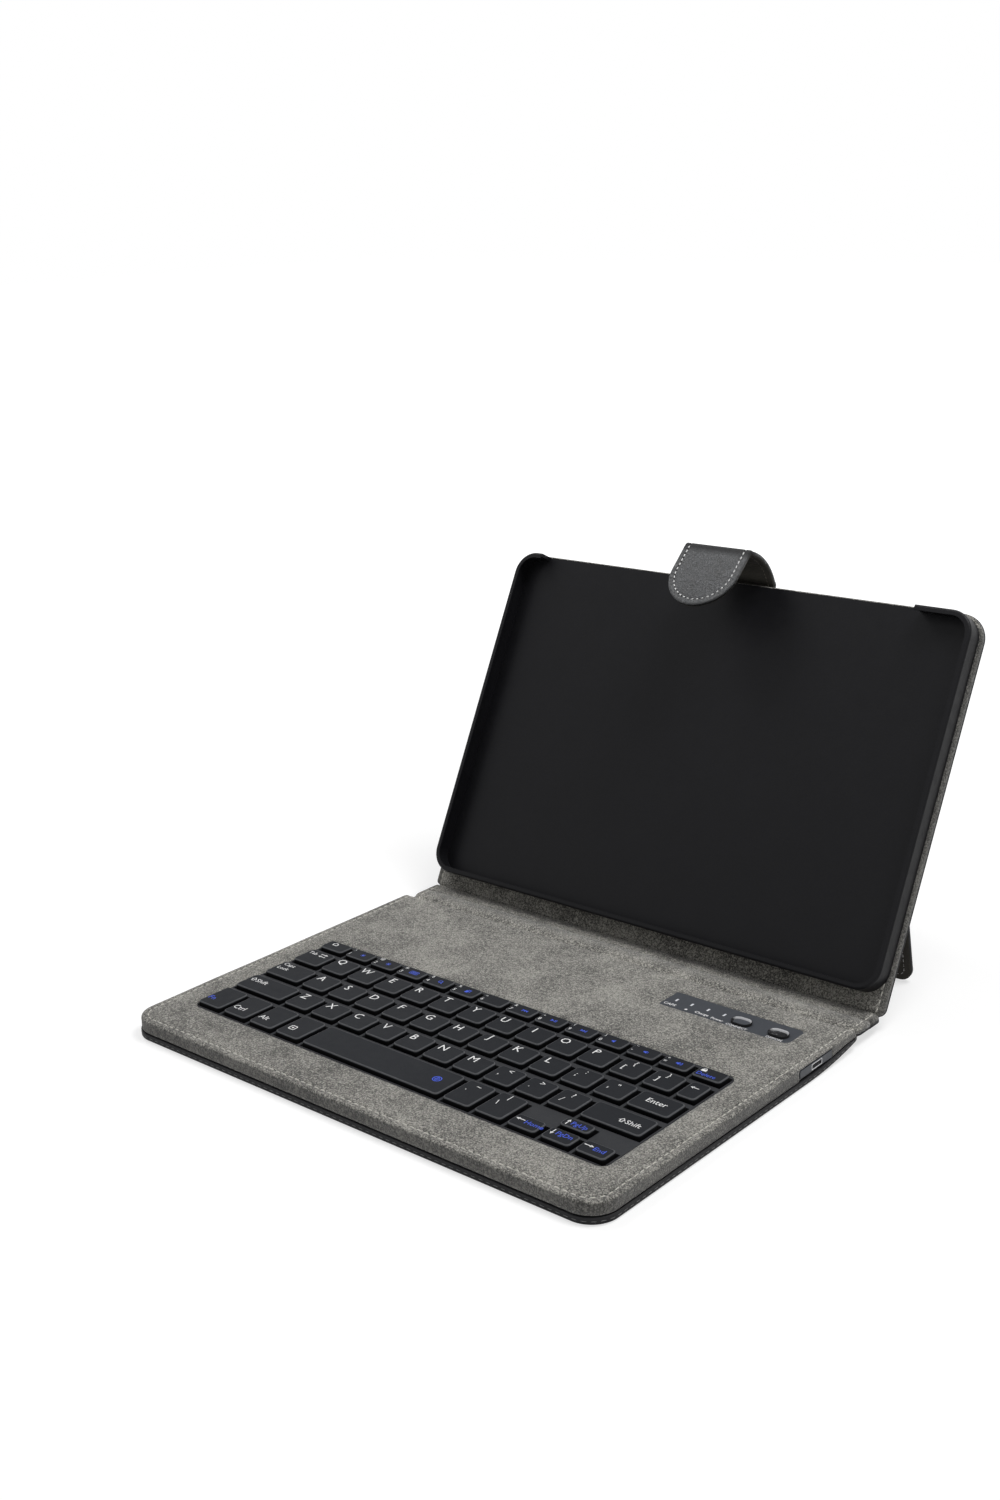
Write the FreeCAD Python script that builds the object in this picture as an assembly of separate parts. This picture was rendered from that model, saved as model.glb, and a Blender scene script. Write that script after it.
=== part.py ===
# Tablet keyboard case: a folio of keyboard panel, spine and tablet panel, with a kickstand and a closing strap.
# Millimetres, +Z up. The origin is the middle of the keyboard panel's underside, +X right, +Y towards the spine.
import FreeCAD, Part
import math
import os

V = FreeCAD.Vector

# Folio outline
case_width = 256.0
panel_depth = 178.0
spine_width = 20.0
free_corner = 12.0
crease_corner = 4.0
panel_tilt = 62.8

# Layers of the folio: outer leather, stiffening board and suede lining
leather = 1.2
board = 1.4
lining = 0.8
edge_wrap = 1.0

# Creases: the leather stops this short of a fold line, the stiff layers further back
leather_gap = 0.8
board_gap = 3.2

# Keyboard module: flat on the table, with its underside rising towards the spine
module_top = 9.2
tail_start = 50.0
tail_rise = 4.4
module_inset = 0.3
module_round = 1.8
well_floor = 3.6
wall_gap = 0.05

# Keyboard plate and its keys, measured on the keyboard panel
plate_width = 226.0
plate_front = -65.5
plate_back = 20.7
plate_corner = 4.0
plate_stand = 0.2
plate_thick = 1.8
plate_flange = 1.2
flange_thick = 0.6
field_width = 223.5
key_width = 14.3
letter_gap = 2.03
number_count, upper_count, middle_count, lower_count = 14, 12, 11, 10
bottom_left_count, bottom_right_count = 4, 5
backspace_width = 9.6
caps_width = 21.5
left_shift_width = 29.2
number_front, number_back = 9.4, 18.5
upper_front, upper_back = -7.8, 6.0
middle_front, middle_back = -25.2, -11.4
lower_front, lower_back = -42.8, -29.0
bottom_front, bottom_back = -64.4, -46.0
arrow_split_low, arrow_split_high = -55.1, -53.0
key_stand = 2.0
key_bevel = 0.35
key_corner = 1.2
key_clear = 0.35
key_flange = 0.7
key_flange_drop = 0.1

# Switch layers under the keys
steel_sheet = 0.4
membrane_sheet = 0.3
dome_sheet = 0.4
dome_height = 0.6
dome_foot, dome_tip = 3.2, 2.0
tail_left, tail_right, tail_end = 60.0, 72.0, 61.0

# Control strip behind the keyboard, with its button, switch and lights
strip_left, strip_right = 47.6, 112.2
strip_front, strip_back = 58.0, 72.4
strip_left_corner, strip_right_corner = 0.8, 3.0
strip_thick = 0.8
strip_ledge = 1.0
light_places = (52.0, 59.9, 68.3, 76.5)
light_row = 65.4
light_width, light_length = 0.9, 2.2
control_row = 63.2
button_place, button_length = 86.5, 7.0
switch_place, switch_slot = 104.7, 7.6
knob_length, knob_travel = 3.8, 3.2
control_depth = 3.6
control_clear = 0.3
control_crown = 0.5
collar_length, collar_depth, collar_rise = 9.4, 6.4, 1.2

# Electronics in the keyboard module
board_well_floor = 4.8
circuit_thick = 0.8
battery_left, battery_right, battery_front, battery_back = -100.0, 38.0, 27.0, 67.0
battery_low, battery_high = 4.7, 7.8
socket_middle, socket_width, socket_length = 55.5, 7.8, 8.8
socket_low, socket_high = 4.9, 7.5
socket_wall, socket_tongue = 0.3, 0.6
radio_left, radio_right = 79.0, 84.0
chip_height, touch_height = 1.0, 0.4
bezel_front, bezel_back, bezel_low, bezel_high = 43.0, 67.0, 4.6, 7.9
latch_width, latch_depth, latch_thick, latch_setback = 24.0, 16.0, 0.8, 26.0

# Tray for the tablet: an open box with a lip, open along the top between two corner clips
tablet_width, tablet_height, tablet_thick = 249.3, 164.3, 7.1
tablet_clear = 0.2
tray_wall = 1.7
tray_floor = 1.2
tray_lip = 0.8
lip_reach = 0.9
tray_border = 9.0
tray_corner = 11.0
tray_round = 1.2
left_clip, right_clip = 14.0, 29.0

# Kickstand on the tablet panel's back
stand_hinge_up = 75.3
stand_open = 39.3
stand_half_width = 114.0
stand_layers = (1.0, 1.0, 0.6)
stand_clear = 0.3
stand_gap = 1.4
stand_corner = 6.5
anchor_height = 30.0

# Strap that closes the folio
strap_width = 36.0
strap_cover, strap_stiff, strap_inner = 1.0, 0.5, 0.9
strap_reach = 33.0
strap_fold_gap = 1.5
strap_bow = 3.0
strap_lean = 75.0
strap_fold = 85.0
strap_root_out = 2.2
strap_clear = 0.5
strap_patch = 26.0
strap_corner = 5.0
magnet_width, magnet_depth, magnet_thick = 16.0, 10.0, 0.7

half_width = case_width / 2
front = -panel_depth / 2
crease_one = panel_depth / 2
crease_two = crease_one + spine_width
crease_height = tail_rise + leather / 2
leaf = leather + board
closed_gap = spine_width + crease_height
tail_end_y = crease_one - leather_gap
tail_radius = ((tail_end_y - tail_start) ** 2 + tail_rise ** 2) / (2 * tail_rise)
far = 2 * case_width
tiny = 1e-6


def block(x0, x1, y0, y1, z0, z1):
    return Part.makeBox(x1 - x0, y1 - y0, z1 - z0, V(x0, y0, z0))


def rounded(x0, x1, y0, y1, z0, z1, front_radius=0.0, back_radius=0.0):
    # A plate with upright round corners, one radius for the front pair and one for the back pair
    shape = block(x0, x1, y0, y1, z0, z1)
    for radius, y in ((front_radius, y0), (back_radius, y1)):
        if radius > 0:
            corners = [e for e in shape.Edges if is_upright(e) and abs(e.Vertexes[0].Y - y) < tiny]
            shape = shape.makeFillet(radius, corners)
    return shape


def ended(x0, x1, y0, y1, z0, z1, left_radius, right_radius):
    # A plate with upright round corners, one radius for the left pair and one for the right pair
    shape = block(x0, x1, y0, y1, z0, z1)
    for radius, x in ((left_radius, x0), (right_radius, x1)):
        corners = [e for e in shape.Edges if is_upright(e) and abs(e.Vertexes[0].X - x) < tiny]
        shape = shape.makeFillet(radius, corners)
    return shape


def top_edges(shape, top):
    return [e for e in shape.Edges if all(abs(v.Z - top) < tiny for v in e.Vertexes)]


def is_upright(edge):
    a, b = edge.Vertexes[0], edge.Vertexes[-1]
    return abs(a.X - b.X) < tiny and abs(a.Y - b.Y) < tiny and abs(a.Z - b.Z) > tiny


def upright(edges, z1):
    # A solid standing on a flat closed outline, up to a height
    face = Part.Face(Part.Wire(edges))
    return face.extrude(V(0, 0, z1 - edges[0].Vertexes[0].Z))


def pill(x_middle, y_middle, length, depth, z0, z1):
    # A slot shape with half-round ends
    half, radius = length / 2, depth / 2
    x0, x1 = x_middle - half + radius, x_middle + half - radius
    y0, y1 = y_middle - radius, y_middle + radius
    right_end = Part.Arc(V(x1, y0, z0), V(x1 + radius, y_middle, z0), V(x1, y1, z0)).toShape()
    left_end = Part.Arc(V(x0, y1, z0), V(x0 - radius, y_middle, z0), V(x0, y0, z0)).toShape()
    low = Part.makeLine(V(x0, y0, z0), V(x1, y0, z0))
    high = Part.makeLine(V(x1, y1, z0), V(x0, y1, z0))
    return upright([low, right_end, high, left_end], z1)


def tongue(half, y0, tip, z0, z1):
    # A strip from a square end to a half-round tip
    shoulder = tip - half
    corners = [V(-half, shoulder, z0), V(-half, y0, z0), V(half, y0, z0), V(half, shoulder, z0)]
    edges = [Part.makeLine(a, b) for a, b in zip(corners, corners[1:])]
    edges.append(Part.Arc(corners[-1], V(0, tip, z0), corners[0]).toShape())
    return upright(edges, z1)


def rise(y):
    # Height of the module's underside above the table
    if y <= tail_start:
        return 0.0
    return tail_radius - math.sqrt(tail_radius ** 2 - (y - tail_start) ** 2)


def underside(height):
    # The underside's curve moved up by a height: its straight part and its rising arc
    bend = (tail_start + tail_end_y) / 2
    start = V(0, tail_start, height)
    end = V(0, tail_end_y, height + tail_rise)
    arc = Part.Arc(start, V(0, bend, height + rise(bend)), end).toShape()
    return [Part.makeLine(V(0, front, height), start), arc]


def below_curve(low, high):
    # Everything between two copies of the underside's curve, across the whole width
    edges = underside(low) + underside(high)
    edges.append(Part.makeLine(V(0, front, low), V(0, front, high)))
    edges.append(Part.makeLine(V(0, tail_end_y, low + tail_rise), V(0, tail_end_y, high + tail_rise)))
    return swept(edges)


def below_top(low, top):
    # Everything from a copy of the underside's curve up to a flat top
    edges = underside(low)
    edges.append(Part.makeLine(V(0, front, low), V(0, front, top)))
    edges.append(Part.makeLine(V(0, front, top), V(0, tail_end_y, top)))
    edges.append(Part.makeLine(V(0, tail_end_y, top), V(0, tail_end_y, low + tail_rise)))
    return swept(edges)


def swept(edges):
    wire = Part.Wire(Part.__sortEdges__(edges))
    solid = Part.Face(wire).extrude(V(2 * far, 0, 0))
    solid.translate(V(-far, 0, 0))
    return solid


def base_outline(inset, back):
    return rounded(inset - half_width, half_width - inset, front + inset, back, -far, far, free_corner - inset)


def save(name, shape):
    shape = shape.removeSplitter()
    shape.exportStep("parts/" + name + ".step")


def on_panel(shape):
    # From the tablet panel lying flat, hinged at y = 0 and z = 0, to its place leaning back behind the spine
    shape.rotate(V(0, 0, 0), V(1, 0, 0), panel_tilt)
    shape.translate(V(0, crease_two, crease_height))
    return shape


def keyboard_panel_leaf():
    back = crease_one - board_gap
    sheet = base_outline(0, tail_end_y).common(below_curve(0, leather))
    rim = base_outline(0, back).cut(base_outline(edge_wrap, far)).common(below_curve(leather, leaf))
    save("base_outer_cover", sheet.fuse(rim))
    stiff = base_outline(edge_wrap, back).common(below_curve(leather, leaf))
    latch_middle = front + latch_setback
    y0, y1 = latch_middle - latch_depth / 2, latch_middle + latch_depth / 2
    latch = block(-latch_width / 2, latch_width / 2, y0, y1, leaf - latch_thick, leaf)
    save("base_board", stiff.cut(latch))
    save("latch_plate", latch)


def padded_block(inset, back, low, top, radius):
    # The keyboard module's outer form at some depth inside it, with its top edges rounded over
    shape = base_outline(inset, back).common(below_top(low, top)).removeSplitter()
    return shape.makeFillet(radius, top_edges(shape, top))


def keyboard_housing():
    back = crease_one - board_gap
    half_plate = plate_width / 2
    shell = padded_block(module_inset, back, leaf, module_top, module_round)
    core = padded_block(module_inset + lining, back - lining, leather, module_top - lining, module_round - lining)
    opening = rounded(
        -half_plate - wall_gap, half_plate + wall_gap, plate_front - wall_gap, plate_back + wall_gap,
        0, far, plate_corner, plate_corner)
    strip_hole = ended(
        strip_left - wall_gap, strip_right + wall_gap, strip_front - wall_gap, strip_back + wall_gap,
        leaf, far, strip_left_corner, strip_right_corner)
    window = block(half_width - 2 * lining, far, bezel_front, bezel_back, bezel_low, bezel_high)
    skin = shell.cut(core).cut(opening).cut(strip_hole).cut(window)
    save("base_lining", skin)

    inset = module_inset + lining + wall_gap
    top = module_top - lining - wall_gap
    case = padded_block(inset, back - lining - wall_gap, leaf, top, module_round - lining)
    edge = plate_flange + wall_gap
    key_well = block(-half_plate - edge, half_plate + edge, plate_front - edge, plate_back + edge, well_floor, far)
    battery_well = block(
        battery_left - strip_ledge, battery_right + strip_ledge,
        battery_front - strip_ledge, battery_back + strip_ledge, battery_low - wall_gap, far)
    circuit_well = block(
        strip_left + strip_ledge, strip_right - strip_ledge,
        strip_front + strip_ledge, strip_back - strip_ledge, board_well_floor, far)
    tail_slot = block(
        tail_left - strip_ledge, tail_right + strip_ledge, plate_back, tail_end + strip_ledge,
        well_floor + steel_sheet - wall_gap, far)
    socket_half = socket_width / 2 + wall_gap
    socket_slot = block(
        strip_right - 2 * strip_ledge, far, socket_middle - socket_half, socket_middle + socket_half,
        socket_low - wall_gap, socket_high + wall_gap)
    case = case.cut(key_well).cut(battery_well).cut(circuit_well).cut(tail_slot).cut(socket_slot)
    save("keyboard_bottom_case", case)


def key_rows():
    # Every key as its four sides, grouped into the pieces that are named
    left = -field_width / 2

    def spread(widths, gap, y0, y1):
        keys, x = [], left
        for width in widths:
            keys.append((x, x + width, y0, y1))
            x += width + gap
        return keys

    def row(left_keys, count, right_keys):
        return left_keys + [key_width] * count + right_keys

    number_gap = (field_width - number_count * key_width) / (number_count - 1)
    step = key_width + letter_gap
    tab_width = field_width - upper_count * step - backspace_width - letter_gap
    enter_width = field_width - caps_width - middle_count * step - letter_gap
    right_shift_width = field_width - left_shift_width - lower_count * step - letter_gap
    space_width = field_width - (bottom_left_count + bottom_right_count) * step
    bottom_widths = row([], bottom_left_count, [space_width]) + row([], bottom_right_count, [])
    number = spread(row([], number_count, []), number_gap, number_front, number_back)
    upper = spread(row([tab_width], upper_count, [backspace_width]), letter_gap, upper_front, upper_back)
    middle = spread(row([caps_width], middle_count, [enter_width]), letter_gap, middle_front, middle_back)
    lower = spread(row([left_shift_width], lower_count, [right_shift_width]), letter_gap, lower_front, lower_back)
    bottom = spread(bottom_widths, letter_gap, bottom_front, bottom_back)
    space = bottom_left_count
    symbols_end = len(bottom) - 3

    def short(key, y0, y1):
        return (key[0], key[1], y0, y1)

    return {
        "number_row_keys": number,
        "tab_key": upper[:1],
        "upper_letter_keys": upper[1:-1],
        "backspace_key": upper[-1:],
        "caps_key": middle[:1],
        "middle_letter_keys": middle[1:-1],
        "enter_key": middle[-1:],
        "left_shift_key": lower[:1],
        "lower_letter_keys": lower[1:-1],
        "right_shift_key": lower[-1:],
        "fn_key": bottom[0:1],
        "ctrl_key": bottom[1:2],
        "alt_key": bottom[2:3],
        "command_key": bottom[3:4],
        "space_bar": bottom[space:space + 1],
        "symbol_keys": bottom[space + 1:symbols_end],
        "left_arrow_key": [short(bottom[-3], bottom_front, arrow_split_low)],
        "up_arrow_key": [short(bottom[-2], arrow_split_high, bottom_back)],
        "down_arrow_key": [short(bottom[-2], bottom_front, arrow_split_low)],
        "right_arrow_key": [short(bottom[-1], bottom_front, arrow_split_low)],
    }


def grown(key, amount, z0, z1):
    x0, x1, y0, y1 = key
    return block(x0 - amount, x1 + amount, y0 - amount, y1 + amount, z0, z1)


def key_cap(key):
    # A bevelled cap on a wider foot that the plate keeps from coming out
    plate_top = module_top + plate_stand
    foot_top = plate_top - plate_thick - key_flange_drop
    cap_top = plate_top + key_stand
    cap = rounded(*key, foot_top, cap_top, key_corner, key_corner)
    cap = cap.makeChamfer(key_bevel, top_edges(cap, cap_top))
    return cap.fuse(grown(key, key_flange, foot_top - flange_thick, foot_top)).removeSplitter()


def keyboard():
    groups = key_rows()
    every_key = [key for keys in groups.values() for key in keys]
    half_plate = plate_width / 2
    plate_top = module_top + plate_stand
    plate_low = plate_top - plate_thick
    plate = rounded(
        -half_plate, half_plate, plate_front, plate_back, plate_low, plate_top, plate_corner, plate_corner)
    edge = plate_flange
    flange = block(
        -half_plate - edge, half_plate + edge, plate_front - edge, plate_back + edge,
        plate_low, plate_low + flange_thick)
    plate = plate.fuse(flange)
    holes = Part.makeCompound([grown(key, key_clear, 0, far) for key in every_key])
    save("keyboard_top_plate", plate.cut(holes))
    for name, keys in groups.items():
        caps = [key_cap(key) for key in keys]
        shape = caps[0] if len(caps) == 1 else Part.makeCompound(caps)
        shape.exportStep("parts/" + name + ".step")

    def sheet(z0, thick):
        return block(-half_plate, half_plate, plate_front, plate_back, z0, z0 + thick)

    level = well_floor
    save("key_backing_plate", sheet(level, steel_sheet))
    level += steel_sheet
    tail = block(tail_left, tail_right, plate_back, tail_end, level, level + membrane_sheet)
    save("key_membrane", sheet(level, membrane_sheet).fuse(tail))
    level += membrane_sheet
    domes = sheet(level, dome_sheet)
    level += dome_sheet
    cones = []
    for x0, x1, y0, y1 in every_key:
        middle = V((x0 + x1) / 2, (y0 + y1) / 2, level)
        cones.append(Part.makeCone(dome_foot, dome_tip, dome_height, middle))
    save("rubber_dome_sheet", domes.multiFuse(cones))


def controls():
    top = module_top
    low = top - strip_thick
    rim = top + collar_rise
    strip = ended(strip_left, strip_right, strip_front, strip_back, low, top, strip_left_corner, strip_right_corner)
    for place in (button_place, switch_place):
        strip = strip.fuse(pill(place, control_row, collar_length, collar_depth, low, rim))
    button_hole = pill(button_place, control_row, button_length + 2 * control_clear,
                       control_depth + 2 * control_clear, low, rim)
    switch_hole = pill(switch_place, control_row, switch_slot, control_depth + 2 * control_clear, low, rim)
    strip = strip.cut(button_hole).cut(switch_hole)
    lenses = []
    half_x, half_y = light_width / 2, light_length / 2
    circuit_top = board_well_floor + wall_gap + circuit_thick
    for x in light_places:
        hole = block(x - half_x - wall_gap, x + half_x + wall_gap, light_row - half_y - wall_gap,
                     light_row + half_y + wall_gap, low, top)
        strip = strip.cut(hole)
        lenses.append(block(x - half_x, x + half_x, light_row - half_y, light_row + half_y, circuit_top, top))
    save("control_strip", strip.removeSplitter())
    Part.makeCompound(lenses).exportStep("parts/indicator_lenses.step")

    # Both controls have a foot wider than their opening, just under the strip
    foot_high, foot_low = low - key_flange_drop, low - key_flange_drop - flange_thick
    crown = top + control_crown
    foot_depth = control_depth + 3 * control_clear
    button = pill(button_place, control_row, button_length, control_depth, foot_low, crown)
    foot = pill(button_place, control_row, button_length + 3 * control_clear, foot_depth, foot_low, foot_high)
    save("connect_button", button.fuse(foot))
    knob_middle = switch_place - knob_travel / 2
    knob = pill(knob_middle, control_row, knob_length, control_depth, foot_low, crown)
    slider = block(knob_middle - knob_length / 2 - control_clear, knob_middle + knob_length / 2 + control_clear,
                   control_row - foot_depth / 2, control_row + foot_depth / 2, foot_low, foot_high)
    save("power_switch", knob.fuse(slider))


def electronics():
    margin = 2 * strip_ledge
    circuit_low = board_well_floor + wall_gap
    circuit_high = circuit_low + circuit_thick
    y0, y1 = strip_front + margin - strip_ledge / 2, strip_back - margin + strip_ledge / 2
    circuit = block(strip_left + margin, strip_right - margin, y0, y1, circuit_low, circuit_high)
    radio = block(radio_left, radio_right, y0 + strip_ledge, y1 - strip_ledge,
                  circuit_high, circuit_high + chip_height)
    touch = block(button_place - margin, button_place + margin, control_row - strip_ledge,
                  control_row + strip_ledge, circuit_high, circuit_high + touch_height)
    slide = block(switch_place - margin, switch_place + margin, control_row - strip_ledge,
                  control_row + strip_ledge, circuit_high, circuit_high + chip_height)
    save("controller_board", circuit.fuse(radio).fuse(touch).fuse(slide))
    save("battery_cell", block(battery_left, battery_right, battery_front, battery_back, battery_low, battery_high))

    # Charging socket: a folded metal shell with its tongue, looking out through the side
    face = half_width - module_inset
    wall, tongue = socket_wall, socket_tongue
    half = socket_width / 2
    shell = block(face - socket_length, face, socket_middle - half, socket_middle + half, socket_low, socket_high)
    cavity = block(face - socket_length + 4 * wall, far, socket_middle - half + wall, socket_middle + half - wall,
                   socket_low + wall, socket_high - wall)
    middle = (socket_low + socket_high) / 2
    blade = block(face - socket_length, face - 4 * wall, socket_middle - half + 4 * wall,
                  socket_middle + half - 4 * wall, middle - tongue / 2, middle + tongue / 2)
    save("charging_socket", shell.cut(cavity).fuse(blade))
    bezel = block(face - lining, face, bezel_front, bezel_back, bezel_low, bezel_high)
    hole = block(face - far, face + far, socket_middle - half - wall_gap, socket_middle + half + wall_gap,
                 socket_low - wall_gap, socket_high + wall_gap)
    save("port_bezel", bezel.cut(hole))


def spine():
    low = tail_rise
    y0, y1 = crease_one + leather_gap, crease_two - leather_gap
    save("spine_outer_cover", block(-half_width + edge_wrap, half_width - edge_wrap, y0, y1, low, low + leather))
    low += leather
    y0, y1 = crease_one + board_gap, crease_two - board_gap
    inset = 4 * edge_wrap
    save("spine_board", block(-half_width + inset, half_width - inset, y0, y1, low, low + board))
    low += board
    save("spine_lining", block(-half_width + edge_wrap, half_width - edge_wrap, y0, y1, low, low + lining))


def tablet_panel():
    # Drawn flat: y runs up the panel from its crease, z from the middle of the leather towards the user
    level = -leather / 2
    sheet = rounded(-half_width, half_width, leather_gap, panel_depth, level, level + leather,
                    crease_corner, free_corner)
    save("panel_outer_cover", on_panel(sheet))
    level += leather
    x, y0, y1 = half_width - edge_wrap, board_gap, panel_depth - edge_wrap
    stiff = rounded(-x, x, y0, y1, level, level + board, crease_corner, free_corner - edge_wrap)
    wrapped = rounded(-half_width, half_width, y0, panel_depth, level, level + board + lining,
                      crease_corner, free_corner)
    save("panel_lining", on_panel(wrapped.cut(stiff)))
    save("panel_board", on_panel(stiff))


def tablet_tray():
    low = leather / 2 + board + lining
    inner_x = tablet_width / 2 + tablet_clear
    inner_low = tray_border + tray_wall
    inner_high = inner_low + tablet_height + 2 * tablet_clear
    outer_x, outer_high = inner_x + tray_wall, inner_high + tray_wall
    seat = low + tray_floor
    under_lip = seat + tablet_thick + tablet_clear
    rim = under_lip + tray_lip
    inner_corner = tray_corner - tray_wall
    body = rounded(-outer_x, outer_x, tray_border, outer_high, low, rim, tray_corner, tray_corner)
    body = body.makeFillet(tray_round, top_edges(body, rim))
    pocket = rounded(-inner_x, inner_x, inner_low, inner_high, seat, under_lip, inner_corner, inner_corner)
    mouth = rounded(-inner_x + lip_reach, inner_x - lip_reach, inner_low + lip_reach, inner_high - lip_reach,
                    under_lip - tiny, far, inner_corner - lip_reach, inner_corner - lip_reach)
    top_opening = block(left_clip - outer_x, outer_x - right_clip, inner_high - 2 * lip_reach, far, seat, far)
    tray = body.cut(pocket).cut(mouth).cut(top_opening)
    save("tablet_tray", on_panel(tray))


def kickstand():
    # Drawn folded flat on the panel's back, then opened about its hinge until its foot reaches the table
    cover, stiff, inner = stand_layers
    thick = cover + stiff + inner
    back = -leather / 2
    near = back - stand_clear
    far_face = near - thick
    hinge = V(0, stand_hinge_up, far_face + cover / 2)
    turn = math.radians(panel_tilt + stand_open)
    slope = math.radians(panel_tilt)
    hinge_height = crease_height + hinge.y * math.sin(slope) + hinge.z * math.cos(slope)
    length = (hinge_height + (near - hinge.z) * math.cos(turn)) / math.sin(turn)
    y0, y1 = stand_hinge_up - length, stand_hinge_up - stand_gap
    print("kickstand length", round(length, 2))

    def layer(z0, z1, inset):
        x = stand_half_width - inset
        return rounded(-x, x, y0 + inset, y1, z0, z1, stand_corner - inset)

    def opened(shape):
        shape.rotate(hinge, V(1, 0, 0), stand_open)
        return on_panel(shape)

    save("stand_outer_cover", opened(layer(far_face, far_face + cover, 0)))
    save("stand_board", opened(layer(far_face + cover, near - inner, edge_wrap)))
    save("stand_lining", opened(layer(near - inner, near, 0)))
    y0, y1 = stand_hinge_up + stand_gap, stand_hinge_up + anchor_height
    x = stand_half_width
    strip = rounded(-x, x, y0, y1, far_face, back, 0, stand_corner)
    save("stand_anchor_strip", on_panel(strip))


def strap():
    # Drawn straight, beyond the panel's free edge, then folded at its tip and leaned at its root
    half = strap_width / 2
    thick = strap_cover + strap_stiff + strap_inner
    outer = -leather / 2 - thick
    inner = -leather / 2
    root = V(0, panel_depth + strap_root_out, (outer + inner) / 2)
    bridge = closed_gap + strap_clear + thick / 2 - root.z
    bend = V(0, root.y + bridge, root.z)
    print("strap from root to fold", round(bridge, 2))

    def leaned(shape):
        shape.rotate(root, V(1, 0, 0), strap_lean)
        return on_panel(shape)

    def folded(shape):
        shape.rotate(bend, V(1, 0, 0), strap_fold)
        return leaned(shape)

    patch_low = panel_depth - strap_patch
    patch = rounded(-half, half, patch_low, root.y - strap_fold_gap, outer, inner, strap_corner)
    save("strap_anchor_patch", on_panel(patch))
    span = bridge / 2 - strap_fold_gap
    radius = (span ** 2 + strap_bow ** 2) / (2 * strap_bow)
    half_turn = math.asin(span / radius)
    middle = V(0, root.y + bridge / 2, root.z - strap_bow + radius)

    def arched(inner_radius, outer_radius):
        # A band bent round the middle point, bowed out from the case
        def at(r, turn):
            return V(-half, middle.y + r * math.sin(turn), middle.z - r * math.cos(turn))

        def arc(r):
            return Part.Arc(at(r, -half_turn), at(r, 0), at(r, half_turn)).toShape()

        ends = [Part.makeLine(at(inner_radius, turn), at(outer_radius, turn)) for turn in (-half_turn, half_turn)]
        outline = Part.__sortEdges__([arc(inner_radius), arc(outer_radius)] + ends)
        return Part.Face(Part.Wire(outline)).extrude(V(strap_width, 0, 0))

    join = radius + thick / 2 - strap_cover - strap_stiff / 2
    save("strap_bridge_cover", leaned(arched(join, radius + thick / 2)))
    save("strap_bridge_lining", leaned(arched(radius - thick / 2, join)))

    tip = bend.y + strap_reach
    y0 = bend.y + strap_fold_gap
    level = outer
    save("strap_tip_cover", folded(tongue(half, y0, tip, level, level + strap_cover)))
    level += strap_cover
    stiff = tongue(half - edge_wrap, y0, tip - edge_wrap, level, level + strap_stiff)
    lining_shape = tongue(half, y0, tip, level, inner)
    magnet_y = bend.y + half
    magnet = block(-magnet_width / 2, magnet_width / 2, magnet_y - magnet_depth / 2, magnet_y + magnet_depth / 2,
                   level + strap_stiff, level + strap_stiff + magnet_thick)
    save("strap_tip_lining", folded(lining_shape.cut(stiff).cut(magnet)))
    save("strap_tip_stiffener", folded(stiff))
    save("strap_magnet", folded(magnet))


os.makedirs("parts", exist_ok=True)
keyboard_panel_leaf()
keyboard_housing()
keyboard()
controls()
electronics()
spine()
tablet_panel()
tablet_tray()
kickstand()
strap()
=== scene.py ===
import bpy
import math
import numpy as np
from mathutils import Matrix
from mathutils.geometry import tessellate_polygon


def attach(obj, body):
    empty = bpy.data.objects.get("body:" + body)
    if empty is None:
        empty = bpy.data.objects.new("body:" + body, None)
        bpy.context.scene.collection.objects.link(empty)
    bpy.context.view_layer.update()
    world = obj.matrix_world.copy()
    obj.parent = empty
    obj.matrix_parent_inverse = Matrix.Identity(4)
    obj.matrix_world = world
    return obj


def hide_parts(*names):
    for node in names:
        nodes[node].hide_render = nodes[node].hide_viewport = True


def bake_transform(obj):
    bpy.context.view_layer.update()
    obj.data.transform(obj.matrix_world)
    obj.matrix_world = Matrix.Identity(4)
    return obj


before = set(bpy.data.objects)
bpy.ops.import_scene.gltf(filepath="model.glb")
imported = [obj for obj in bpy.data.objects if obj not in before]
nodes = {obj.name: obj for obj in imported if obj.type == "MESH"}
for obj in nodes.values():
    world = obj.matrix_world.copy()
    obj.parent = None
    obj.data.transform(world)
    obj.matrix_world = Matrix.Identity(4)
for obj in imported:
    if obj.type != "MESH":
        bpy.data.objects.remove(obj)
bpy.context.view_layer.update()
mm = 0.001
quarter = math.pi / 2

# the folio as built, in millimetres: y runs towards the spine, s along the leather from its front edge up
folio = {"halfWidth": 128.0, "front": -89.0, "creaseOne": 89.0, "creaseTwo": 109.0, "panel": 178.0,
         "tailStart": 50.0, "tailEnd": 88.2, "tailRise": 4.4,       # the underside curves up to the spine
         "leather": 1.2, "tilt": math.radians(62.8), "bend": 4.0,   # the panel leans behind a round crease
         "corner": 12.0, "lowCorner": 4.5, "creaseEase": 3.0, "creaseWidth": 1.6, "grid": 5.0}
folioTop = folio["creaseTwo"] + folio["panel"]
halfLeather = folio["leather"] / 2
creaseLevel = folio["tailRise"] + halfLeather
spineMiddle = (folio["creaseOne"] + folio["creaseTwo"]) / 2


# surfaces
fine = {"closest": 0.12, "cornerLines": 8, "leastCorner": 0.01, "roundSteps": 4, "roundShare": 0.7,
        "holeSteps": 8, "touch": 1e-6}


def unit(a):
    # vectors over their own length
    return a / np.linalg.norm(a, axis=-1, keepdims=True)


def even(height):
    # a surface at one height all over
    return lambda x, v: np.full_like(v, height)


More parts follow.
